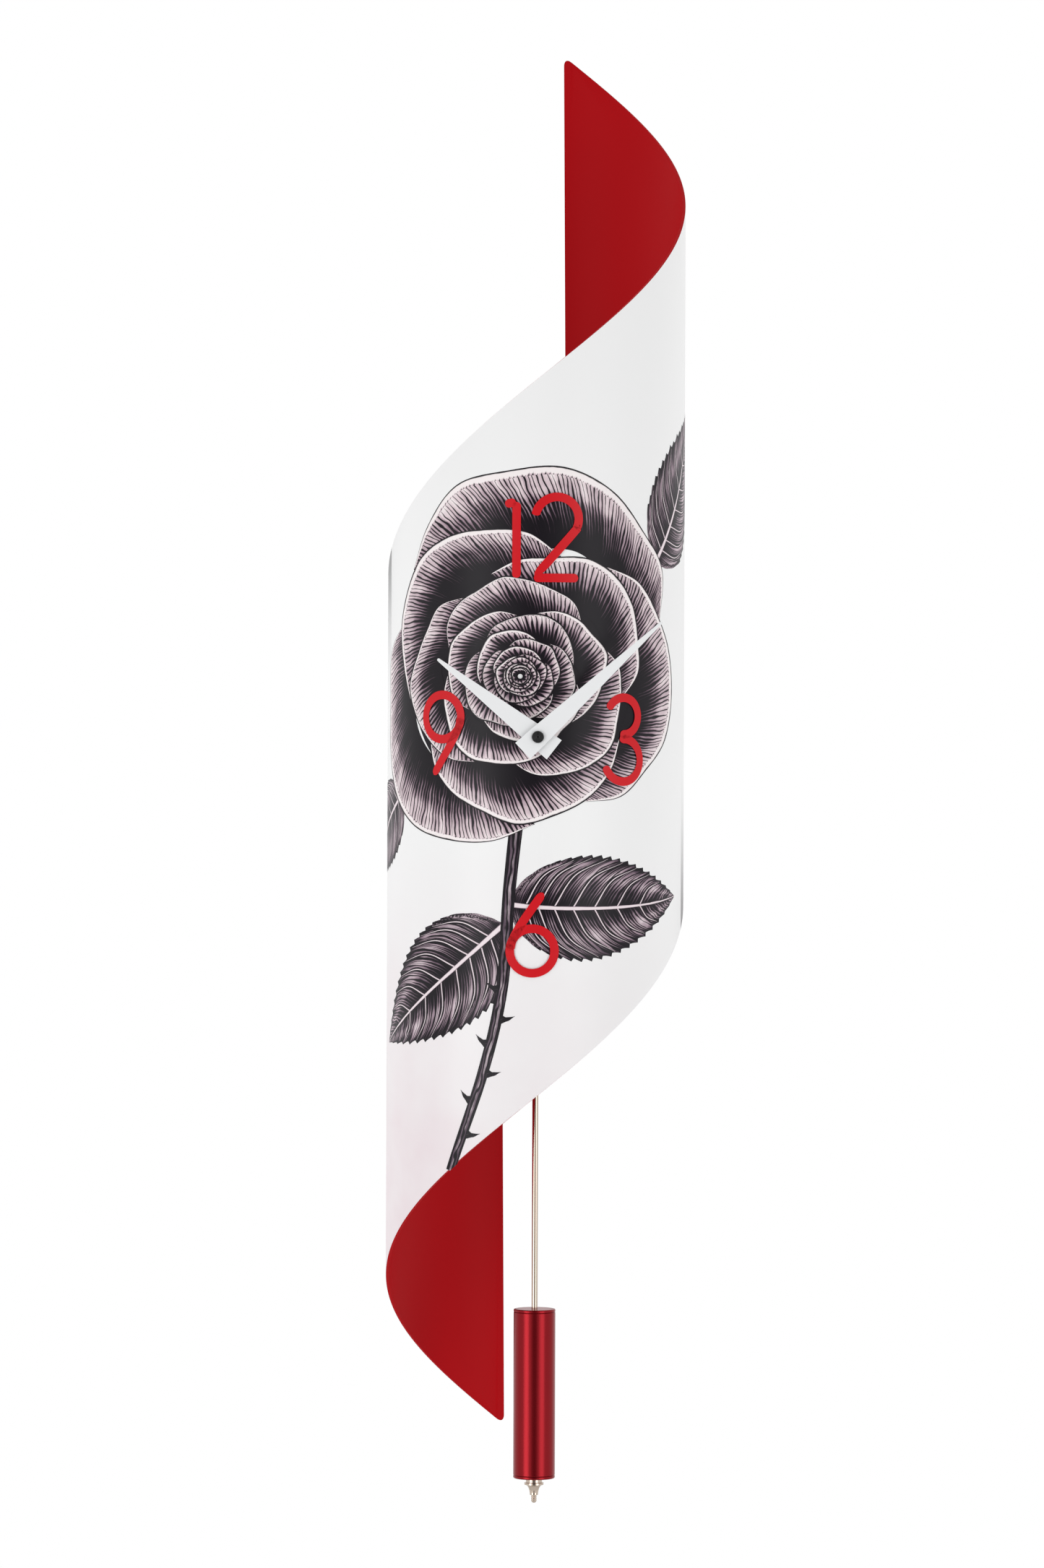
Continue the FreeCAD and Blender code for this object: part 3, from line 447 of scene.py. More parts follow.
def printed(name, pitch, outline, washes, spread=0.25):
    """Ink over washes, given as (share, colour) stops from the deepest tone to bare paper."""
    material, tree, shader = new_material(name, Roughness=0.36, Specular_IOR_Level=0.22)
    lines = add_node(tree, "ShaderNodeGroup", node_tree=engraving)
    for socket, setting in (("Pitch", pitch), ("Outline", outline), ("Spread", spread)):
        lines.inputs[socket].default_value = setting
    ramp = add_node(tree, "ShaderNodeValToRGB", links={0: lines.outputs["Wash"]})
    stops = ramp.color_ramp.elements
    while len(stops) < len(washes):
        stops.new(0.5)
    for stop, (share, colour) in zip(stops, washes):
        stop.position, stop.color = share, colour
    mix = add_node(tree, "ShaderNodeMix", {7: ink_colour}, {0: lines.outputs["Ink"], 6: ramp.outputs["Color"]},
                   data_type="RGBA")
    tree.links.new(mix.outputs[2], shader.inputs["Base Color"])
    return material


# ---------------------------------------------------------------------------
# The printed leaves: serrated rose leaves of one plain textbook outline, each
# in two halves with side veins and a pale midrib, printed under stem and flower.
# ---------------------------------------------------------------------------
leaf_ink = printed("leaf_ink", 1.35, 0.6, ((0.0, rgb(26, 20, 27)), (0.3, rgb(92, 74, 88)), (0.55, rgb(168, 146, 158)),
                                           (1.0, rgb(240, 227, 231))), spread=0.35)
tooth_columns, tooth_depth = 6, 0.09
outline_steps = 7
leaf_tones = (0.1, 0.5, 0.6, 0.4, 0.0)


def half_leaf(bm, layer, rib, edge, teeth, depth, tones):
    """Half a leaf: its lines follow the side veins from the midrib out to the toothed edge."""
    wide = length_of(edge)
    deep = sum((spline(edge, share) - spline(rib, share ** 2)).length for share in (0.1, 0.3, 0.5, 0.7, 0.9)) / 5

    def place(u, v):
        ahead = spline(edge, u + 0.01) - spline(edge, u - 0.01)
        side = Vector((-ahead.y, ahead.x)).normalized()
        fade = min(1.0, 6 * u, 5 * (1 - u))
        start = spline(edge, u) + side * depth * fade * ((teeth * u) % 1.0) ** 1.6
        along = spline(rib, u ** 2) - start
        bow = math.copysign(0.14, depth)
        return start + along * v + Vector((along.y, -along.x)) * bow * 4 * v * (1 - v)

    def marks(u, v):
        return u * wide, v * deep, profile(tones, v), v * deep

    film_patch(bm, teeth * tooth_columns, int(deep / film_grid) + 2, layer, place, marks)


def leaf(bm, layer, root, degrees, long, wide, bend, teeth, veins):
    """A leaf from its root: a formula gives the midrib and both edges, then side veins go on."""
    turn = math.radians(degrees)
    ahead, side = Vector((math.cos(turn), math.sin(turn))), Vector((-math.sin(turn), math.cos(turn)))

    def at(share, out):
        return Vector(root) + ahead * long * share + side * (bend * long * share * share + out)

    shares = [index / outline_steps for index in range(outline_steps + 1)]
    half = [wide * math.sin(math.pi * share ** 0.75) for share in shares]
    rib = [at(share, 0) for share in shares]
    left = [at(share, -out) for share, out in zip(shares, half)]
    right = [at(share, out) for share, out in zip(shares, half)]
    half_leaf(bm, layer, rib, left, teeth, -tooth_depth * wide, leaf_tones)
    half_leaf(bm, layer, rib, right, teeth, tooth_depth * wide, leaf_tones)
    scale = length_of(rib) / 100
    for index in range(veins):
        share = 0.30 + 0.62 * index / veins
        for edge, way in ((left, -1), (right, 1)):
            start, tip = spline(rib, share ** 2), spline(edge, share)
            along = tip - start
            bow = start + along * 0.5 + Vector((-along.y, along.x)) * 0.14 * way
            vein = [start, bow, tip]
            stroke(bm, layer + 1, vein, (3.0 * scale, 2.2 * scale, 0.3), (0.2, -0.1, 0.2), inked=False)
            stroke(bm, layer + 2, vein, (0.7 * scale, 0.5 * scale, 0.1), (0.7, 1.1, 0.7), inked=False)
    stroke(bm, layer + 3, rib, [width * scale for width in (2.8, 2.0, 1.5, 1.1, 0.4)], (0.5, 1.3, 1.2, 0.3),
           inked=False)


bm = new_film()
leaf(bm, 0, (-66, -22), 216, 62, 17, -0.14, 16, 6)
leaf(bm, 0, (54, 70), 52, 72, 19, 0.12, 18, 6)
leaf(bm, 0, (-13, -74), 222, 84, 21, -0.12, 20, 7)
leaf(bm, 0, (-12, -66), -6, 82, 20, 0.14, 20, 7)
film_object("print_leaves", bm, leaf_ink)
top_layer = 4

# ---------------------------------------------------------------------------
# The printed stem: one tapering brush line that runs down from the flower to
# the sheet's lower edge, with thorns on alternate sides.
# ---------------------------------------------------------------------------
stem_ink = printed("stem_ink", 1.5, 0.45,
                   ((0.0, rgb(26, 20, 27)), (0.45, rgb(104, 86, 100)), (1.0, rgb(238, 224, 228))))
stem_path = curve((-6, -14), (-11, -60), (-14, -100), (-22, -134), (-36, -172))
thorn_count, first_thorn, thorn_gap = 6, 0.50, 0.08
bm = new_film()
stroke(bm, top_layer, stem_path, (5.6, 5.0, 4.6, 4.2), (0.0, 0.3, 0.75, 0.2, 0.0))
for index in range(thorn_count):
    share = first_thorn + thorn_gap * index
    root, ahead = spline(stem_path, share), spline(stem_path, share + 0.02) - spline(stem_path, share - 0.02)
    out = Vector((-ahead.y, ahead.x)).normalized() * (1 if index % 2 else -1)
    back = -ahead.normalized()
    thorn = [root + out * 1.6, root + out * 4.2 + back * 0.6, root + out * 7.0 + back * 2.4]
    stroke(bm, top_layer + 1, thorn, (3.6, 1.6, 0.1), (0.0, 0.2, 0.0))
film_object("print_stem", bm, stem_ink)
top_layer += 2

# ---------------------------------------------------------------------------
# The printed flower: a plain rosette.  Its petals follow one another inwards by
# the golden angle, each with engraved lines, a dark foot and a pale turned lip.
# ---------------------------------------------------------------------------
mauve = ((0.0, rgb(34, 26, 34)), (0.25, rgb(104, 82, 96)), (0.5, rgb(172, 148, 160)),
         (0.78, rgb(226, 208, 213)), (1.0, rgb(248, 240, 240)))
petal_ink = printed("petal_ink", 1.5, 0.55, mauve)
ground_ink = printed("ground_ink", 1.9, 0.0,
                     ((0.0, rgb(20, 15, 22)), (0.6, rgb(60, 50, 62)), (1.0, rgb(120, 104, 118))))
bloom = Vector((-7, 24))
bloom_shape = Vector((1.0, 0.94))
outer_reach, inner_reach, petal_count, outer_count = 88, 3.6, 36, 13
golden_turn = 137.5
bloom_seed = random.Random(29)


def around_bloom(degrees, reach):
    turn = math.radians(degrees)
    return bloom + Vector((math.cos(turn) * bloom_shape.x, math.sin(turn) * bloom_shape.y)) * reach


def cupped(bm, layer, start, sweep, reach, lip):
    """One petal: a body that darkens inwards and a pale lip along its softly pointed rim."""
    steps = 9
    depth = 1.2 + 0.36 * reach
    rim, fold, root = [], [], []
    for index in range(steps):
        share = index / (steps - 1)
        swell = math.sin(math.pi * share) ** 0.6
        point = 0.05 * max(0.0, 1 - 5 * abs(share - 0.5))
        angle = start + sweep * share
        out = reach * (0.78 + 0.20 * swell + point) * (1 + bloom_seed.uniform(-0.03, 0.03))
        rim.append(around_bloom(angle, out))
        fold.append(around_bloom(angle, out - lip * (0.1 + 0.9 * swell)))
        root.append(around_bloom(angle - 12, max(out - depth * (0.5 + 0.5 * swell), 0.4)))
    petal(bm, layer, rim, root, (0.9, 0.7, 0.35, 0.0, -0.3), bulge=0.04, end_shade=0.3)
    petal(bm, layer + 1, rim, fold, (1.15, 1.35, 1.2, 0.7), end_shade=0.1)


def petals_between(name, first, last):
    """A film with the petals from one place in the order to another, outermost first."""
    bm = new_film()
    for index in range(first, last):
        share = index / (petal_count - 1)
        reach = outer_reach * (inner_reach / outer_reach) ** share
        sweep = 118 + 150 * share ** 3
        lip = (0.7 + 0.035 * reach) * bloom_seed.uniform(0.6, 1.3)
        cupped(bm, top_layer + 1 + 2 * index, 20 + golden_turn * index, sweep, reach, lip)
    film_object(name, bm, petal_ink)


bm = new_film()
ring = range(0, 361, 20)
petal(bm, top_layer, [around_bloom(turn, 0.58 * outer_reach) for turn in ring],
      [around_bloom(turn, 1.0) for turn in ring], (-0.1, -0.2, -0.2, -0.1), closed_ends=False)
film_object("print_ground", bm, ground_ink)
petals_between("print_outer_petals", 0, outer_count)
petals_between("print_heart", outer_count, petal_count)
top_layer += 2 * petal_count + 2

# ---------------------------------------------------------------------------
# The four printed numerals: one even red brush line with round ends, printed
# over the drawing.
# ---------------------------------------------------------------------------
numeral_red = finished("numeral_red", rgb(208, 22, 32), 0.36, grain=1400.0, mottle=0.02, Specular_IOR_Level=0.22)
numeral_width = 3.4


def arc(middle, radius, start, end, steps=24):
    turns = [math.radians(start + (end - start) * index / steps) for index in range(steps + 1)]
    return [Vector(middle) + Vector((math.cos(t), math.sin(t))) * radius for t in turns]


def six(middle, turned):
    """Bowl and leaning tail of a six, or of a nine when turned round."""
    bowl = arc((0, 0), 8.8, 160, 540, 44)
    tail = curve((-8.6, 0.6), (-7.6, 4.4), (-4.0, 11.0), (4.3, 23.0))
    sign = -1 if turned else 1
    return [[Vector(middle) + sign * point for point in path] for path in (bowl, tail)]


numerals = [
    curve((-13.2, 91.9), (-8.8, 92.9)),
    curve((-8.6, 92.9), (-8.6, 62.8)),
    arc((7.4, 86.3), 8.6, 172, -32, 26) + curve((4.0, 69.5), (-1.6, 63.4)),
    curve((-1.8, 62.9), (15.9, 62.9)),
    arc((36.0, 8.6), 7.3, 160, -90) + curve((34.4, 0.9)),
    curve((34.4, 0.5)) + arc((35.9, -8.9), 8.5, 90, -165),
] + six((-1.9, -84.4), False) + six((-40.4, 8.0), True)

bm = new_film()
for path in numerals:
    stroke(bm, top_layer, path, (numeral_width, numeral_width), round_ends=True, step=0.35, across=6)
film_object("numerals", bm, numeral_red)

# ---------------------------------------------------------------------------
# The hands: two tapered blades blanked from 0.5 mm aluminium, with square-cut
# tails, softened edges and a raised ring round the arbor, enamelled white.
# ---------------------------------------------------------------------------
hand_thickness = 0.5 * mm
hand_edge = 0.11 * mm
hub_above = 3.0 * mm
hour_sizes, hour_turn = (50.1, 8.2, 9.6, 8.3, 1.2), 307.7
minute_sizes, minute_turn = (66.8, 8.1, 8.7, 7.9, 1.0), 47.0
hand_enamel = finished("hand_enamel", rgb(240, 241, 242), 0.30, grain=1500.0, mottle=0.008,
                       Coat_Weight=0.3, Coat_Roughness=0.1)


def lathed(bm, outline, middle, axis, steps=96):
    """Turns an outline of (radius, distance along the axis) points into a closed body."""
    across = Vector((1, 0, 0))
    verts = [bm.verts.new(middle + across * radius + axis * along) for radius, along in outline]
    edges = [bm.edges.new(pair) for pair in zip(verts, verts[1:] + verts[:1])]
    bmesh.ops.spin(bm, geom=verts + edges, cent=middle, axis=axis, angle=2 * math.pi, steps=steps,
                   use_merge=True)
    bmesh.ops.remove_doubles(bm, verts=bm.verts[:], dist=1e-7)
    bmesh.ops.dissolve_degenerate(bm, dist=1e-8, edges=bm.edges[:])
    bmesh.ops.recalc_face_normals(bm, faces=bm.faces[:])


def eased(points, size):
    """A closed outline whose corners off the axis are rounded by up to this size."""
    result = []
    count = len(points)
    for index, point in enumerate(points):
        here, before, after = Vector(point), Vector(points[index - 1]), Vector(points[(index + 1) % count])
        if point[0] < 1e-6:
            result.append(here)
            continue
        back, on = before - here, after - here
        cut = min(size, back.length * 0.45, on.length * 0.45)
        start, end = here + back.normalized() * cut, here + on.normalized() * cut
        result += [start + back.normalized() * cut * 0.1]
        result += [start.lerp(here, t).lerp(here.lerp(end, t), t) for t in (0.0, 0.33, 0.67, 1.0)]
        result += [end + on.normalized() * cut * 0.1]
    return result


def hand(name, node, sizes, clockwise):
    length, tail, tail_width, hub_width, tip_width = [size * mm for size in sizes]
    low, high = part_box(node)
    side = [(tail_width / 2, -tail), (hub_width / 2, hub_above), (tip_width / 2, length - tip_width / 2)]
    tip = [(tip_width / 2 * math.cos(t), length - tip_width / 2 * (1 - math.sin(t)))
           for t in (math.pi * step / 8 for step in range(1, 8))]
    outline = side + tip + [(-x, z) for x, z in reversed(side)]
    bm = bmesh.new()
    face = bm.faces.new([bm.verts.new((x, 0, z)) for x, z in outline])
    bmesh.ops.recalc_face_normals(bm, faces=[face])
    grown = bmesh.ops.extrude_face_region(bm, geom=[face])["geom"]
    for part in grown:
        if isinstance(part, bmesh.types.BMVert):
            part.co.y -= hand_thickness
    bmesh.ops.recalc_face_normals(bm, faces=bm.faces[:])
    bmesh.ops.bevel(bm, geom=bm.edges[:], offset=hand_edge, affect="EDGES", segments=3, profile=0.5, material=-1)
    broad = [face for face in bm.faces if abs(face.normal.y) > 0.999 and face.calc_area() > 1e-5]
    bmesh.ops.inset_region(bm, faces=broad, thickness=0.06 * mm)
    raised = [(2.45, 0.0), (2.45, 0.06), (2.95, 0.06), (2.95, 0.0)]
    ring = bmesh.new()
    lathed(ring, eased([(r * mm, -hand_thickness - h * mm + 0.01 * mm) for r, h in raised], 0.04 * mm),
           Vector(), Vector((0, 1, 0)))
    ring_mesh = bpy.data.meshes.new("raised_ring")
    ring.to_mesh(ring_mesh)
    ring.free()
    bm.from_mesh(ring_mesh)
    bpy.data.meshes.remove(ring_mesh)
    turned = Matrix.Rotation(math.radians(clockwise), 4, "Y")
    bmesh.ops.transform(bm, matrix=Matrix.Translation((0, high.y, arbor_z)) @ turned, verts=bm.verts[:])
    piece = make_object(name, bm, hand_enamel, crease=50)
    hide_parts(node)
    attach(piece, "hour" if node == "hour_hand" else "minute")


hand("hour_blade", "hour_hand", hour_sizes, hour_turn)
hand("minute_blade", "minute_hand", minute_sizes, minute_turn)

# ---------------------------------------------------------------------------
# The hand cap: a small turned nut screwed on the minute arbor, black, with a
# shallow cone, a fine grain and a bright centre point.
# ---------------------------------------------------------------------------
cap_black = finished("cap_black", rgb(6, 6, 7), 0.24, grain=700.0, mottle=0.05, relief=0.01,
                     Specular_IOR_Level=0.35)
cap_outline = [(0, 1.0), (0, 0.04), (0.42, 0.0), (0.55, 0.22), (2.0, 1.25), (2.35, 1.62), (2.35, 2.6),
               (1.25, 2.6), (1.25, 1.0)]
bm = bmesh.new()
lathed(bm, eased([(r * mm, y * mm) for r, y in cap_outline], 0.12 * mm),
       Vector((0, cap_low.y, arbor_z)), Vector((0, 1, 0)))
hand_cap = make_object("turned_cap", bm, cap_black, crease=35)
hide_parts("hand_cap")
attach(hand_cap, "minute")

# ---------------------------------------------------------------------------
# The pendulum rod: 2.4 mm steel rod bent into a wire eye at its top, where it
# hangs on the swing arm's peg, with a threaded end, all nickel plated.
# ---------------------------------------------------------------------------
nickel = finished("polished_nickel", rgb(202, 186, 171), 0.12, grain=300.0, mottle=0.02, spread=0.02,
                  relief=0.0, stretch=(1, 1, 0.02), Metallic=1.0)
rod_low, rod_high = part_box("pendulum_rod")
stud_low, stud_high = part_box("rating_stud")
rod_y = (stud_low.y + stud_high.y) / 2
rod_radius, stud_radius = 1.2 * mm, 1.1 * mm
eye_radius, eye_wire = 2.1 * mm, 0.8 * mm
up = Vector((0, 0, 1))


def upright(name, outline, body, material, nodes, rounding, crease=35):
    """A turned piece on the rod's centre line, from (radius, height) points in metres."""
    bm = bmesh.new()
    lathed(bm, eased(outline, rounding), Vector((0, rod_y, 0)), up)
    piece = make_object(name, bm, material, crease=crease)
    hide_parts(*nodes)
    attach(piece, body)


bm = bmesh.new()
rod_top = rod_high.z - 2 * eye_radius - eye_wire
lathed(bm, eased([(0, rod_top), (0, rod_low.z), (rod_radius, rod_low.z), (rod_radius, rod_top + 0.4 * mm),
                  (eye_wire, rod_top + 1.2 * mm), (0, rod_top + 1.4 * mm)], 0.1 * mm), Vector((0, rod_y, 0)), up, 64)
eye = bmesh.new()
eye_middle = Vector((0, rod_y, rod_high.z - eye_radius - eye_wire))
wire = bmesh.ops.create_circle(eye, segments=20, radius=eye_wire,
                               matrix=Matrix.Translation(eye_middle + Vector((eye_radius, 0, 0))))["verts"]
loop = list({edge for vert in wire for edge in vert.link_edges})
bmesh.ops.spin(eye, geom=wire + loop, cent=eye_middle, axis=(0, 1, 0), angle=2 * math.pi, steps=48, use_merge=True)
bmesh.ops.remove_doubles(eye, verts=eye.verts[:], dist=1e-7)
bmesh.ops.recalc_face_normals(eye, faces=eye.faces[:])
eye_mesh = bpy.data.meshes.new("wire_eye")
eye.to_mesh(eye_mesh)
eye.free()
bm.from_mesh(eye_mesh)
bpy.data.meshes.remove(eye_mesh)
rod = make_object("polished_rod", bm, nickel, crease=35)
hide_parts("pendulum_rod")
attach(rod, "pendulum")

thread = []
crests = 22
for index in range(crests):
    height = stud_low.z + stud_radius + 0.35 * mm + index * 0.7 * mm
    thread += [(stud_radius - 0.13 * mm, height), (stud_radius, height + 0.22 * mm), (stud_radius, height + 0.4 * mm),
               (stud_radius - 0.13 * mm, height + 0.62 * mm)]
tip = [(stud_radius * math.sin(t), stud_low.z + stud_radius * (1 - math.cos(t))) for t in (0.0, 0.4, 0.8, 1.2, 1.5)]
upright("threaded_stud", tip + thread + [(stud_radius, stud_high.z), (0, stud_high.z)],
        "pendulum", nickel, ["rating_stud"], 0.03 * mm)

# ---------------------------------------------------------------------------
# The bob: an aluminium tube with a turned cap pressed in at each end, each cap
# with a small bevel and one fine groove, brushed lengthways and anodised red.
# ---------------------------------------------------------------------------
anodised = finished("red_anodised", rgb(138, 16, 26), 0.26, grain=1400.0, mottle=0.06, spread=0.05, relief=0.02,
                    stretch=(1, 1, 0.02), Metallic=0.8)
bob_low, bob_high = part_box("bob_bottom_cap")[0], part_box("bob_top_cap")[1]
bob_radius = (bob_high.x - bob_low.x) / 2
bevel, groove_at, groove_half, groove_deep = 0.3 * mm, 1.2 * mm, 0.2 * mm, 0.25 * mm
bore = rod_radius + 0.06 * mm


def grooved(end, inward):
    """Outline of one end, from its bevel past its groove."""
    return [(bob_radius - bevel, end), (bob_radius, end + inward * bevel),
            (bob_radius, end + inward * (groove_at - groove_half)),
            (bob_radius - groove_deep, end + inward * groove_at),
            (bob_radius, end + inward * (groove_at + groove_half))]


bob_outline = ([(bore, bob_low.z)] + grooved(bob_low.z, 1) + list(reversed(grooved(bob_high.z, -1)))
               + [(bore, bob_high.z)])
upright("anodised_bob", bob_outline, "bob", anodised,
        ["bob_tube", "bob_top_cap", "bob_bottom_cap"], 0.08 * mm)

# ---------------------------------------------------------------------------
# The rating nut: a turned collar under the bob, a thin flange, and a hollow
# flare down to a narrow neck, nickel plated.  It turns on the stud's thread.
# ---------------------------------------------------------------------------
nut_low, nut_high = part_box("rating_nut")
nut_top, nut_bottom = nut_high.z, nut_low.z
nut_bore = stud_radius + 0.06 * mm
flare = [(3.45, 2.65), (2.75, 3.1), (2.25, 3.8), (1.9, 4.8), (1.7, 5.8), (1.65, 6.75)]
collar = [(3.85, 2.65), (3.85, 1.75), (3.25, 1.75), (3.25, 0)]
nut_outline = ([(nut_bore, nut_top), (nut_bore, nut_bottom)]
               + [(radius * mm, nut_top - down * mm) for radius, down in flare[::-1] + collar])
upright("turned_rating_nut", nut_outline, "rating", nickel, ["rating_nut"], 0.09 * mm)

# ---------------------------------------------------------------------------
# The hanging hardware: a bright zinc strap riveted inside the left flap, a
# brass eyelet that takes the wall nail, and four rubber pads on the flaps.
# ---------------------------------------------------------------------------
zinc = finished("bright_zinc", rgb(176, 178, 182), 0.28, grain=260.0, mottle=0.10, spread=0.10, relief=0.05,
                Metallic=1.0)
eyelet_brass = finished("eyelet_brass", rgb(201, 172, 104), 0.24, grain=420.0, mottle=0.08, spread=0.08,
                        relief=0.04, Metallic=1.0)
pad_rubber = finished("pad_rubber", rgb(38, 38, 40), 0.75, grain=900.0, mottle=0.10, spread=0.08, relief=0.25)


def dress(material, *nodes):
    """Gives CAD nodes their finish."""
    for name in nodes:
        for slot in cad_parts[name].material_slots:
            slot.material = material


dress(zinc, "hanger_strap", "hanger_rivets")
dress(eyelet_brass, "hanger_eyelet")
dress(pad_rubber, "wall_pads")

# ---------------------------------------------------------------------------
# The movement's housing: two black mouldings with a fine spark-eroded texture,
# joined by four zinc screws, with the setting knob and the swing arm moulded
# in the same plastic.
# ---------------------------------------------------------------------------
case_plastic = finished("case_plastic", rgb(30, 30, 32), 0.52, grain=1100.0, mottle=0.08, spread=0.08, relief=0.30)
screw_zinc = finished("screw_zinc", rgb(190, 190, 188), 0.30, grain=700.0, mottle=0.08, spread=0.08, Metallic=1.0)
dress(case_plastic, "case_front", "case_back", "setting_knob", "swing_arm")
dress(screw_zinc, "case_screws", "pivot_pin", "wheel_pins", "saddle_washer")

# ---------------------------------------------------------------------------
# The centre stack: turned brass bush, fixing nut and minute arbor through the
# sheet, with a rubber spacer that matches the sheet's curve.
# ---------------------------------------------------------------------------
turned_brass = finished("turned_brass", rgb(208, 180, 112), 0.26, grain=800.0, mottle=0.06, spread=0.06,
                        relief=0.05, stretch=(0.2, 1, 0.2), Metallic=1.0)
dress(turned_brass, "threaded_bush", "fixing_nut", "minute_arbor")
dress(pad_rubber, "saddle_spacer")

# ---------------------------------------------------------------------------
# The wheels: natural white acetal mouldings, slightly waxy, on steel pins, with
# a dark sintered magnet on the rotor and in the swing arm.
# ---------------------------------------------------------------------------
acetal = finished("white_acetal", rgb(232, 231, 220), 0.42, grain=700.0, mottle=0.03, spread=0.05, relief=0.06,
                  Subsurface_Weight=0.1, Subsurface_Scale=0.5 * mm)
sintered = finished("sintered_magnet", rgb(58, 58, 61), 0.5, grain=1600.0, mottle=0.25, spread=0.1, relief=0.3,
                    Metallic=0.5)
dress(acetal, "middle_plate", "hour_wheel", "motion_wheel", "centre_wheel", "third_wheel", "second_wheel",
      "idler_wheel", "rotor_pinion")
dress(sintered, "rotor_magnet", "arm_magnet")

# ---------------------------------------------------------------------------
# The motor and electronics: steel stator, enamelled copper windings, a green
# board with a potted chip and a small crystal can, and plated cell contacts.
# ---------------------------------------------------------------------------
stator_steel = finished("stator_steel", rgb(150, 152, 156), 0.36, grain=500.0, mottle=0.08, relief=0.05,
                        stretch=(1, 1, 0.05), Metallic=1.0)
copper = finished("copper_winding", rgb(184, 92, 44), 0.28, grain=1500.0, mottle=0.25, spread=0.08, relief=0.5,
                  stretch=(1, 0.02, 1), Metallic=0.8, Coat_Weight=0.6, Coat_Roughness=0.1)
board_green = finished("board_green", rgb(28, 92, 52), 0.34, grain=600.0, mottle=0.10, relief=0.08, Coat_Weight=0.4)
chip_resin = finished("chip_resin", rgb(22, 22, 23), 0.22, grain=300.0, mottle=0.08, relief=0.10, Coat_Weight=0.5)
contact_nickel = finished("contact_nickel", rgb(206, 202, 194), 0.24, grain=420.0, mottle=0.06, relief=0.04,
                          stretch=(1, 1, 0.1), Metallic=1.0)
dress(stator_steel, "stator")
dress(copper, "motor_coil", "pendulum_coil")
dress(board_green, "circuit_board")
dress(chip_resin, "drive_chip")
dress(contact_nickel, "contact_plus", "contact_minus", "quartz_crystal", "clutch_spring")

# ---------------------------------------------------------------------------
# The AA cell: a steel can in a printed film, dark blue with a copper-coloured
# band at its plus end and bare plated ends, with no lettering.
# ---------------------------------------------------------------------------
cell_low, cell_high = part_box("battery_cell")
cell_length = cell_high.x - cell_low.x
cell_wrap, cell_tree, cell_shader = new_material("cell_wrap", Coat_Weight=0.4, Coat_Roughness=0.08)
along_cell = add_node(cell_tree, "ShaderNodeSeparateXYZ",
                      links={0: add_node(cell_tree, "ShaderNodeTexCoord").outputs["Object"]}).outputs["X"]
share = add_math(cell_tree, "DIVIDE", add_math(cell_tree, "SUBTRACT", along_cell, cell_low.x), cell_length)
bands = add_node(cell_tree, "ShaderNodeValToRGB", links={0: share})
bands.color_ramp.interpolation = "CONSTANT"
plated = rgb(196, 194, 188)
band_colours = ((0.0, plated), (0.012, rgb(26, 44, 86)), (0.70, rgb(184, 112, 62)), (0.962, plated))
for index, (start, colour) in enumerate(band_colours):
    stop = bands.color_ramp.elements[index] if index < 2 else bands.color_ramp.elements.new(start)
    stop.position, stop.color = start, colour
cell_grain = add_node(cell_tree, "ShaderNodeGroup", {"Roughness": 0.3, "Mottle": 0.03, "Grain Scale": 900.0},
                      {"Colour": bands.outputs["Color"]}, node_tree=unevenness)
cell_tree.links.new(cell_grain.outputs["Colour"], cell_shader.inputs["Base Color"])
cell_tree.links.new(cell_grain.outputs["Roughness"], cell_shader.inputs["Roughness"])
cell_tree.links.new(add_math(cell_tree, "LESS_THAN", add_math(cell_tree, "ABSOLUTE", add_math(
    cell_tree, "SUBTRACT", share, 0.487)), 0.475), cell_shader.inputs["Metallic"])
dress(cell_wrap, "battery_cell")

# ---------------------------------------------------------------------------
# The studio: a large pale floor well below the hanging clock, a white room
# that is dimmer behind the viewer, and two broad soft lights.
# ---------------------------------------------------------------------------
front_y = sheet_low.y
view_from = Vector((-28.3 * mm, front_y - 2200.4 * mm, arbor_z - 23.86 * mm))
view_direction = Vector((0.01008, 1.0, 0.00243))
view_roll = 0.00363
lens_mm = 7717.9 * 36.0 / 2171

camera_data = bpy.data.cameras.new("camera")
camera_data.lens = lens_mm
camera = bpy.data.objects.new("camera", camera_data)
turned = view_direction.to_track_quat("-Z", "Y").to_matrix() @ Matrix.Rotation(view_roll, 3, "Z")
camera.matrix_world = Matrix.Translation(view_from) @ turned.to_4x4()
bpy.context.scene.collection.objects.link(camera)
bpy.context.scene.camera = camera

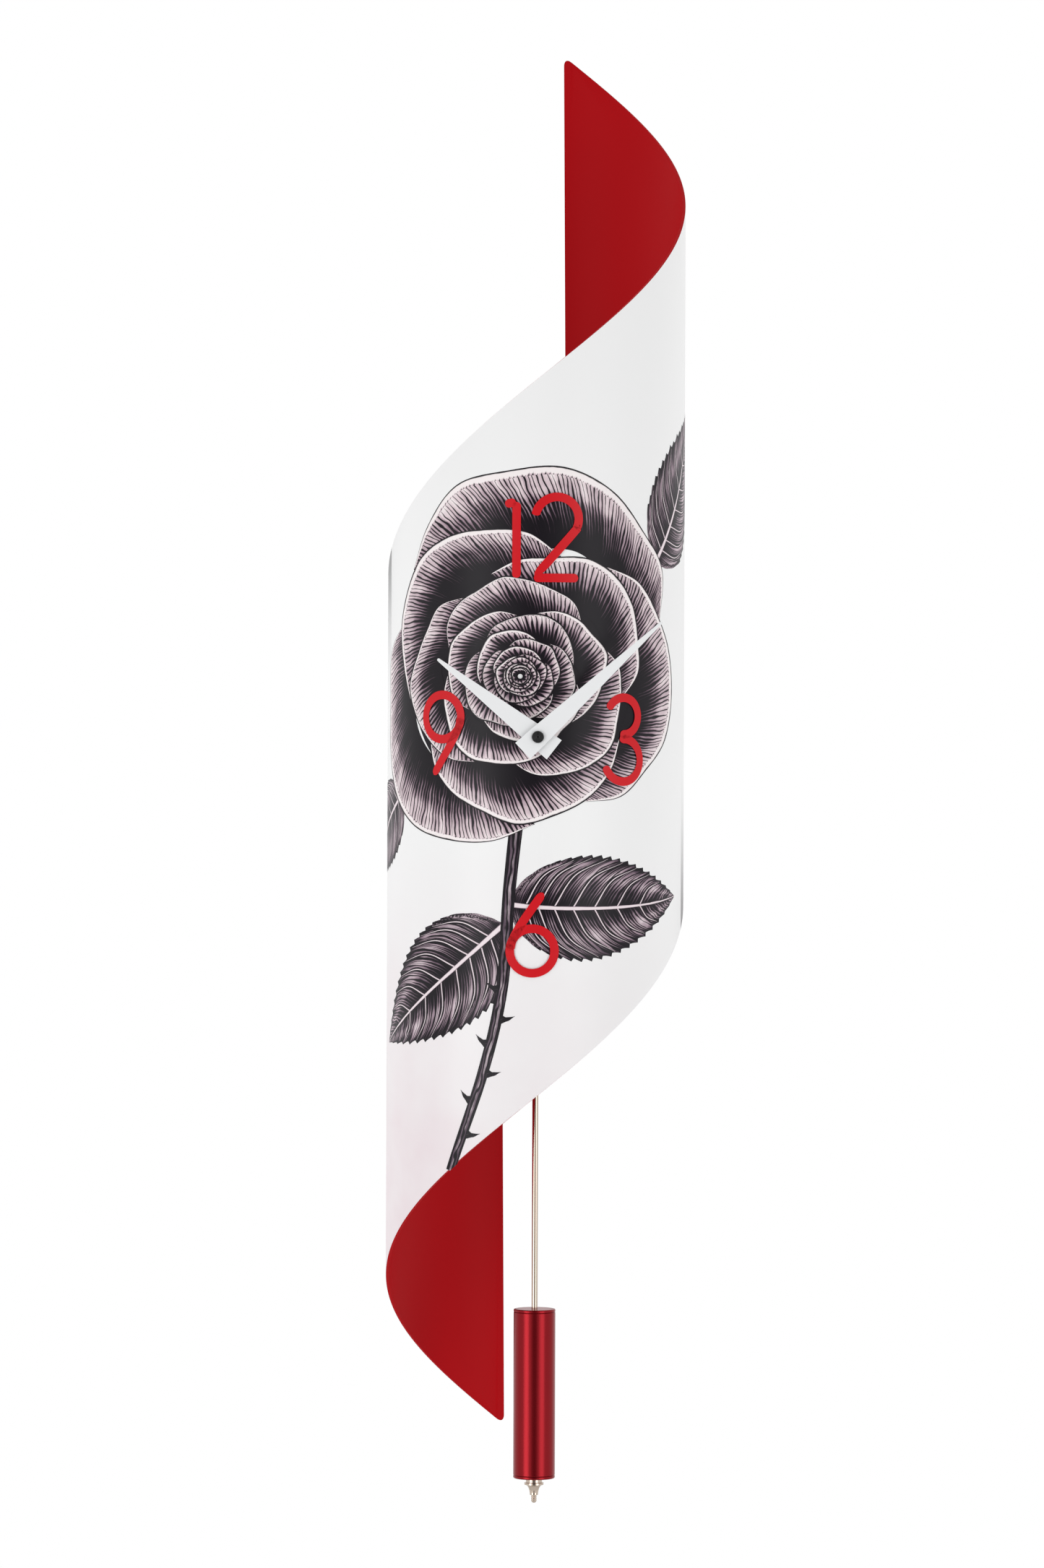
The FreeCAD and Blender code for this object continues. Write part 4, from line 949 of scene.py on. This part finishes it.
floor_drop = 0.75
floor_mesh = bmesh.new()
bmesh.ops.create_circle(floor_mesh, cap_ends=True, radius=1.4, segments=96,
                        matrix=Matrix.Translation((0, 0, cad_box[0][2] - floor_drop)))
floor = make_object("floor", floor_mesh, finished("pale_floor", rgb(236, 236, 236), 0.8, grain=60.0))


def soft_light(name, place, aim, size, power):
    data = bpy.data.lights.new(name, "AREA")
    data.shape = "RECTANGLE"
    data.size, data.size_y = size
    data.energy = power
    light = bpy.data.objects.new(name, data)
    direction = Vector(aim) - Vector(place)
    light.matrix_world = Matrix.Translation(place) @ direction.to_track_quat("-Z", "Y").to_matrix().to_4x4()
    bpy.context.scene.collection.objects.link(light)


middle = Vector((0, tube_y, arbor_z))
soft_light("soft_left", middle + Vector((-1.6, -1.6, -0.5)), middle, (1.0, 1.6), 12)
soft_light("soft_right", middle + Vector((1.5, -1.7, -0.4)), middle, (1.0, 1.6), 8.5)

world = bpy.data.worlds.new("studio")
world.use_nodes = True
bpy.context.scene.world = world
room = world.node_tree
direction = add_node(room, "ShaderNodeTexCoord").outputs["Generated"]
axes = add_node(room, "ShaderNodeSeparateXYZ", links={0: direction}).outputs
sideways = add_math(room, "ABSOLUTE", add_math(room, "ARCTAN2", axes["X"], axes["Y"]))
gap_edge = math.pi - 0.26
brightness = add_node(room, "ShaderNodeMapRange",
                      {"From Min": gap_edge - 0.05, "From Max": gap_edge + 0.05, "To Min": 0.88, "To Max": 0.14},
                      {"Value": sideways}, interpolation_type="SMOOTHSTEP").outputs[0]
lit = add_node(room, "ShaderNodeBackground", {"Color": (1, 1, 1, 1)}, {"Strength": brightness}).outputs[0]
seen = add_node(room, "ShaderNodeBackground", {"Color": (1, 1, 1, 1), "Strength": 1.0}).outputs[0]
is_seen = add_node(room, "ShaderNodeLightPath").outputs["Is Camera Ray"]
mixed = add_node(room, "ShaderNodeMixShader", links={0: is_seen, 1: lit, 2: seen}).outputs[0]
room.links.new(mixed, room.nodes["World Output"].inputs["Surface"])
bpy.context.scene.view_settings.view_transform = "Standard"
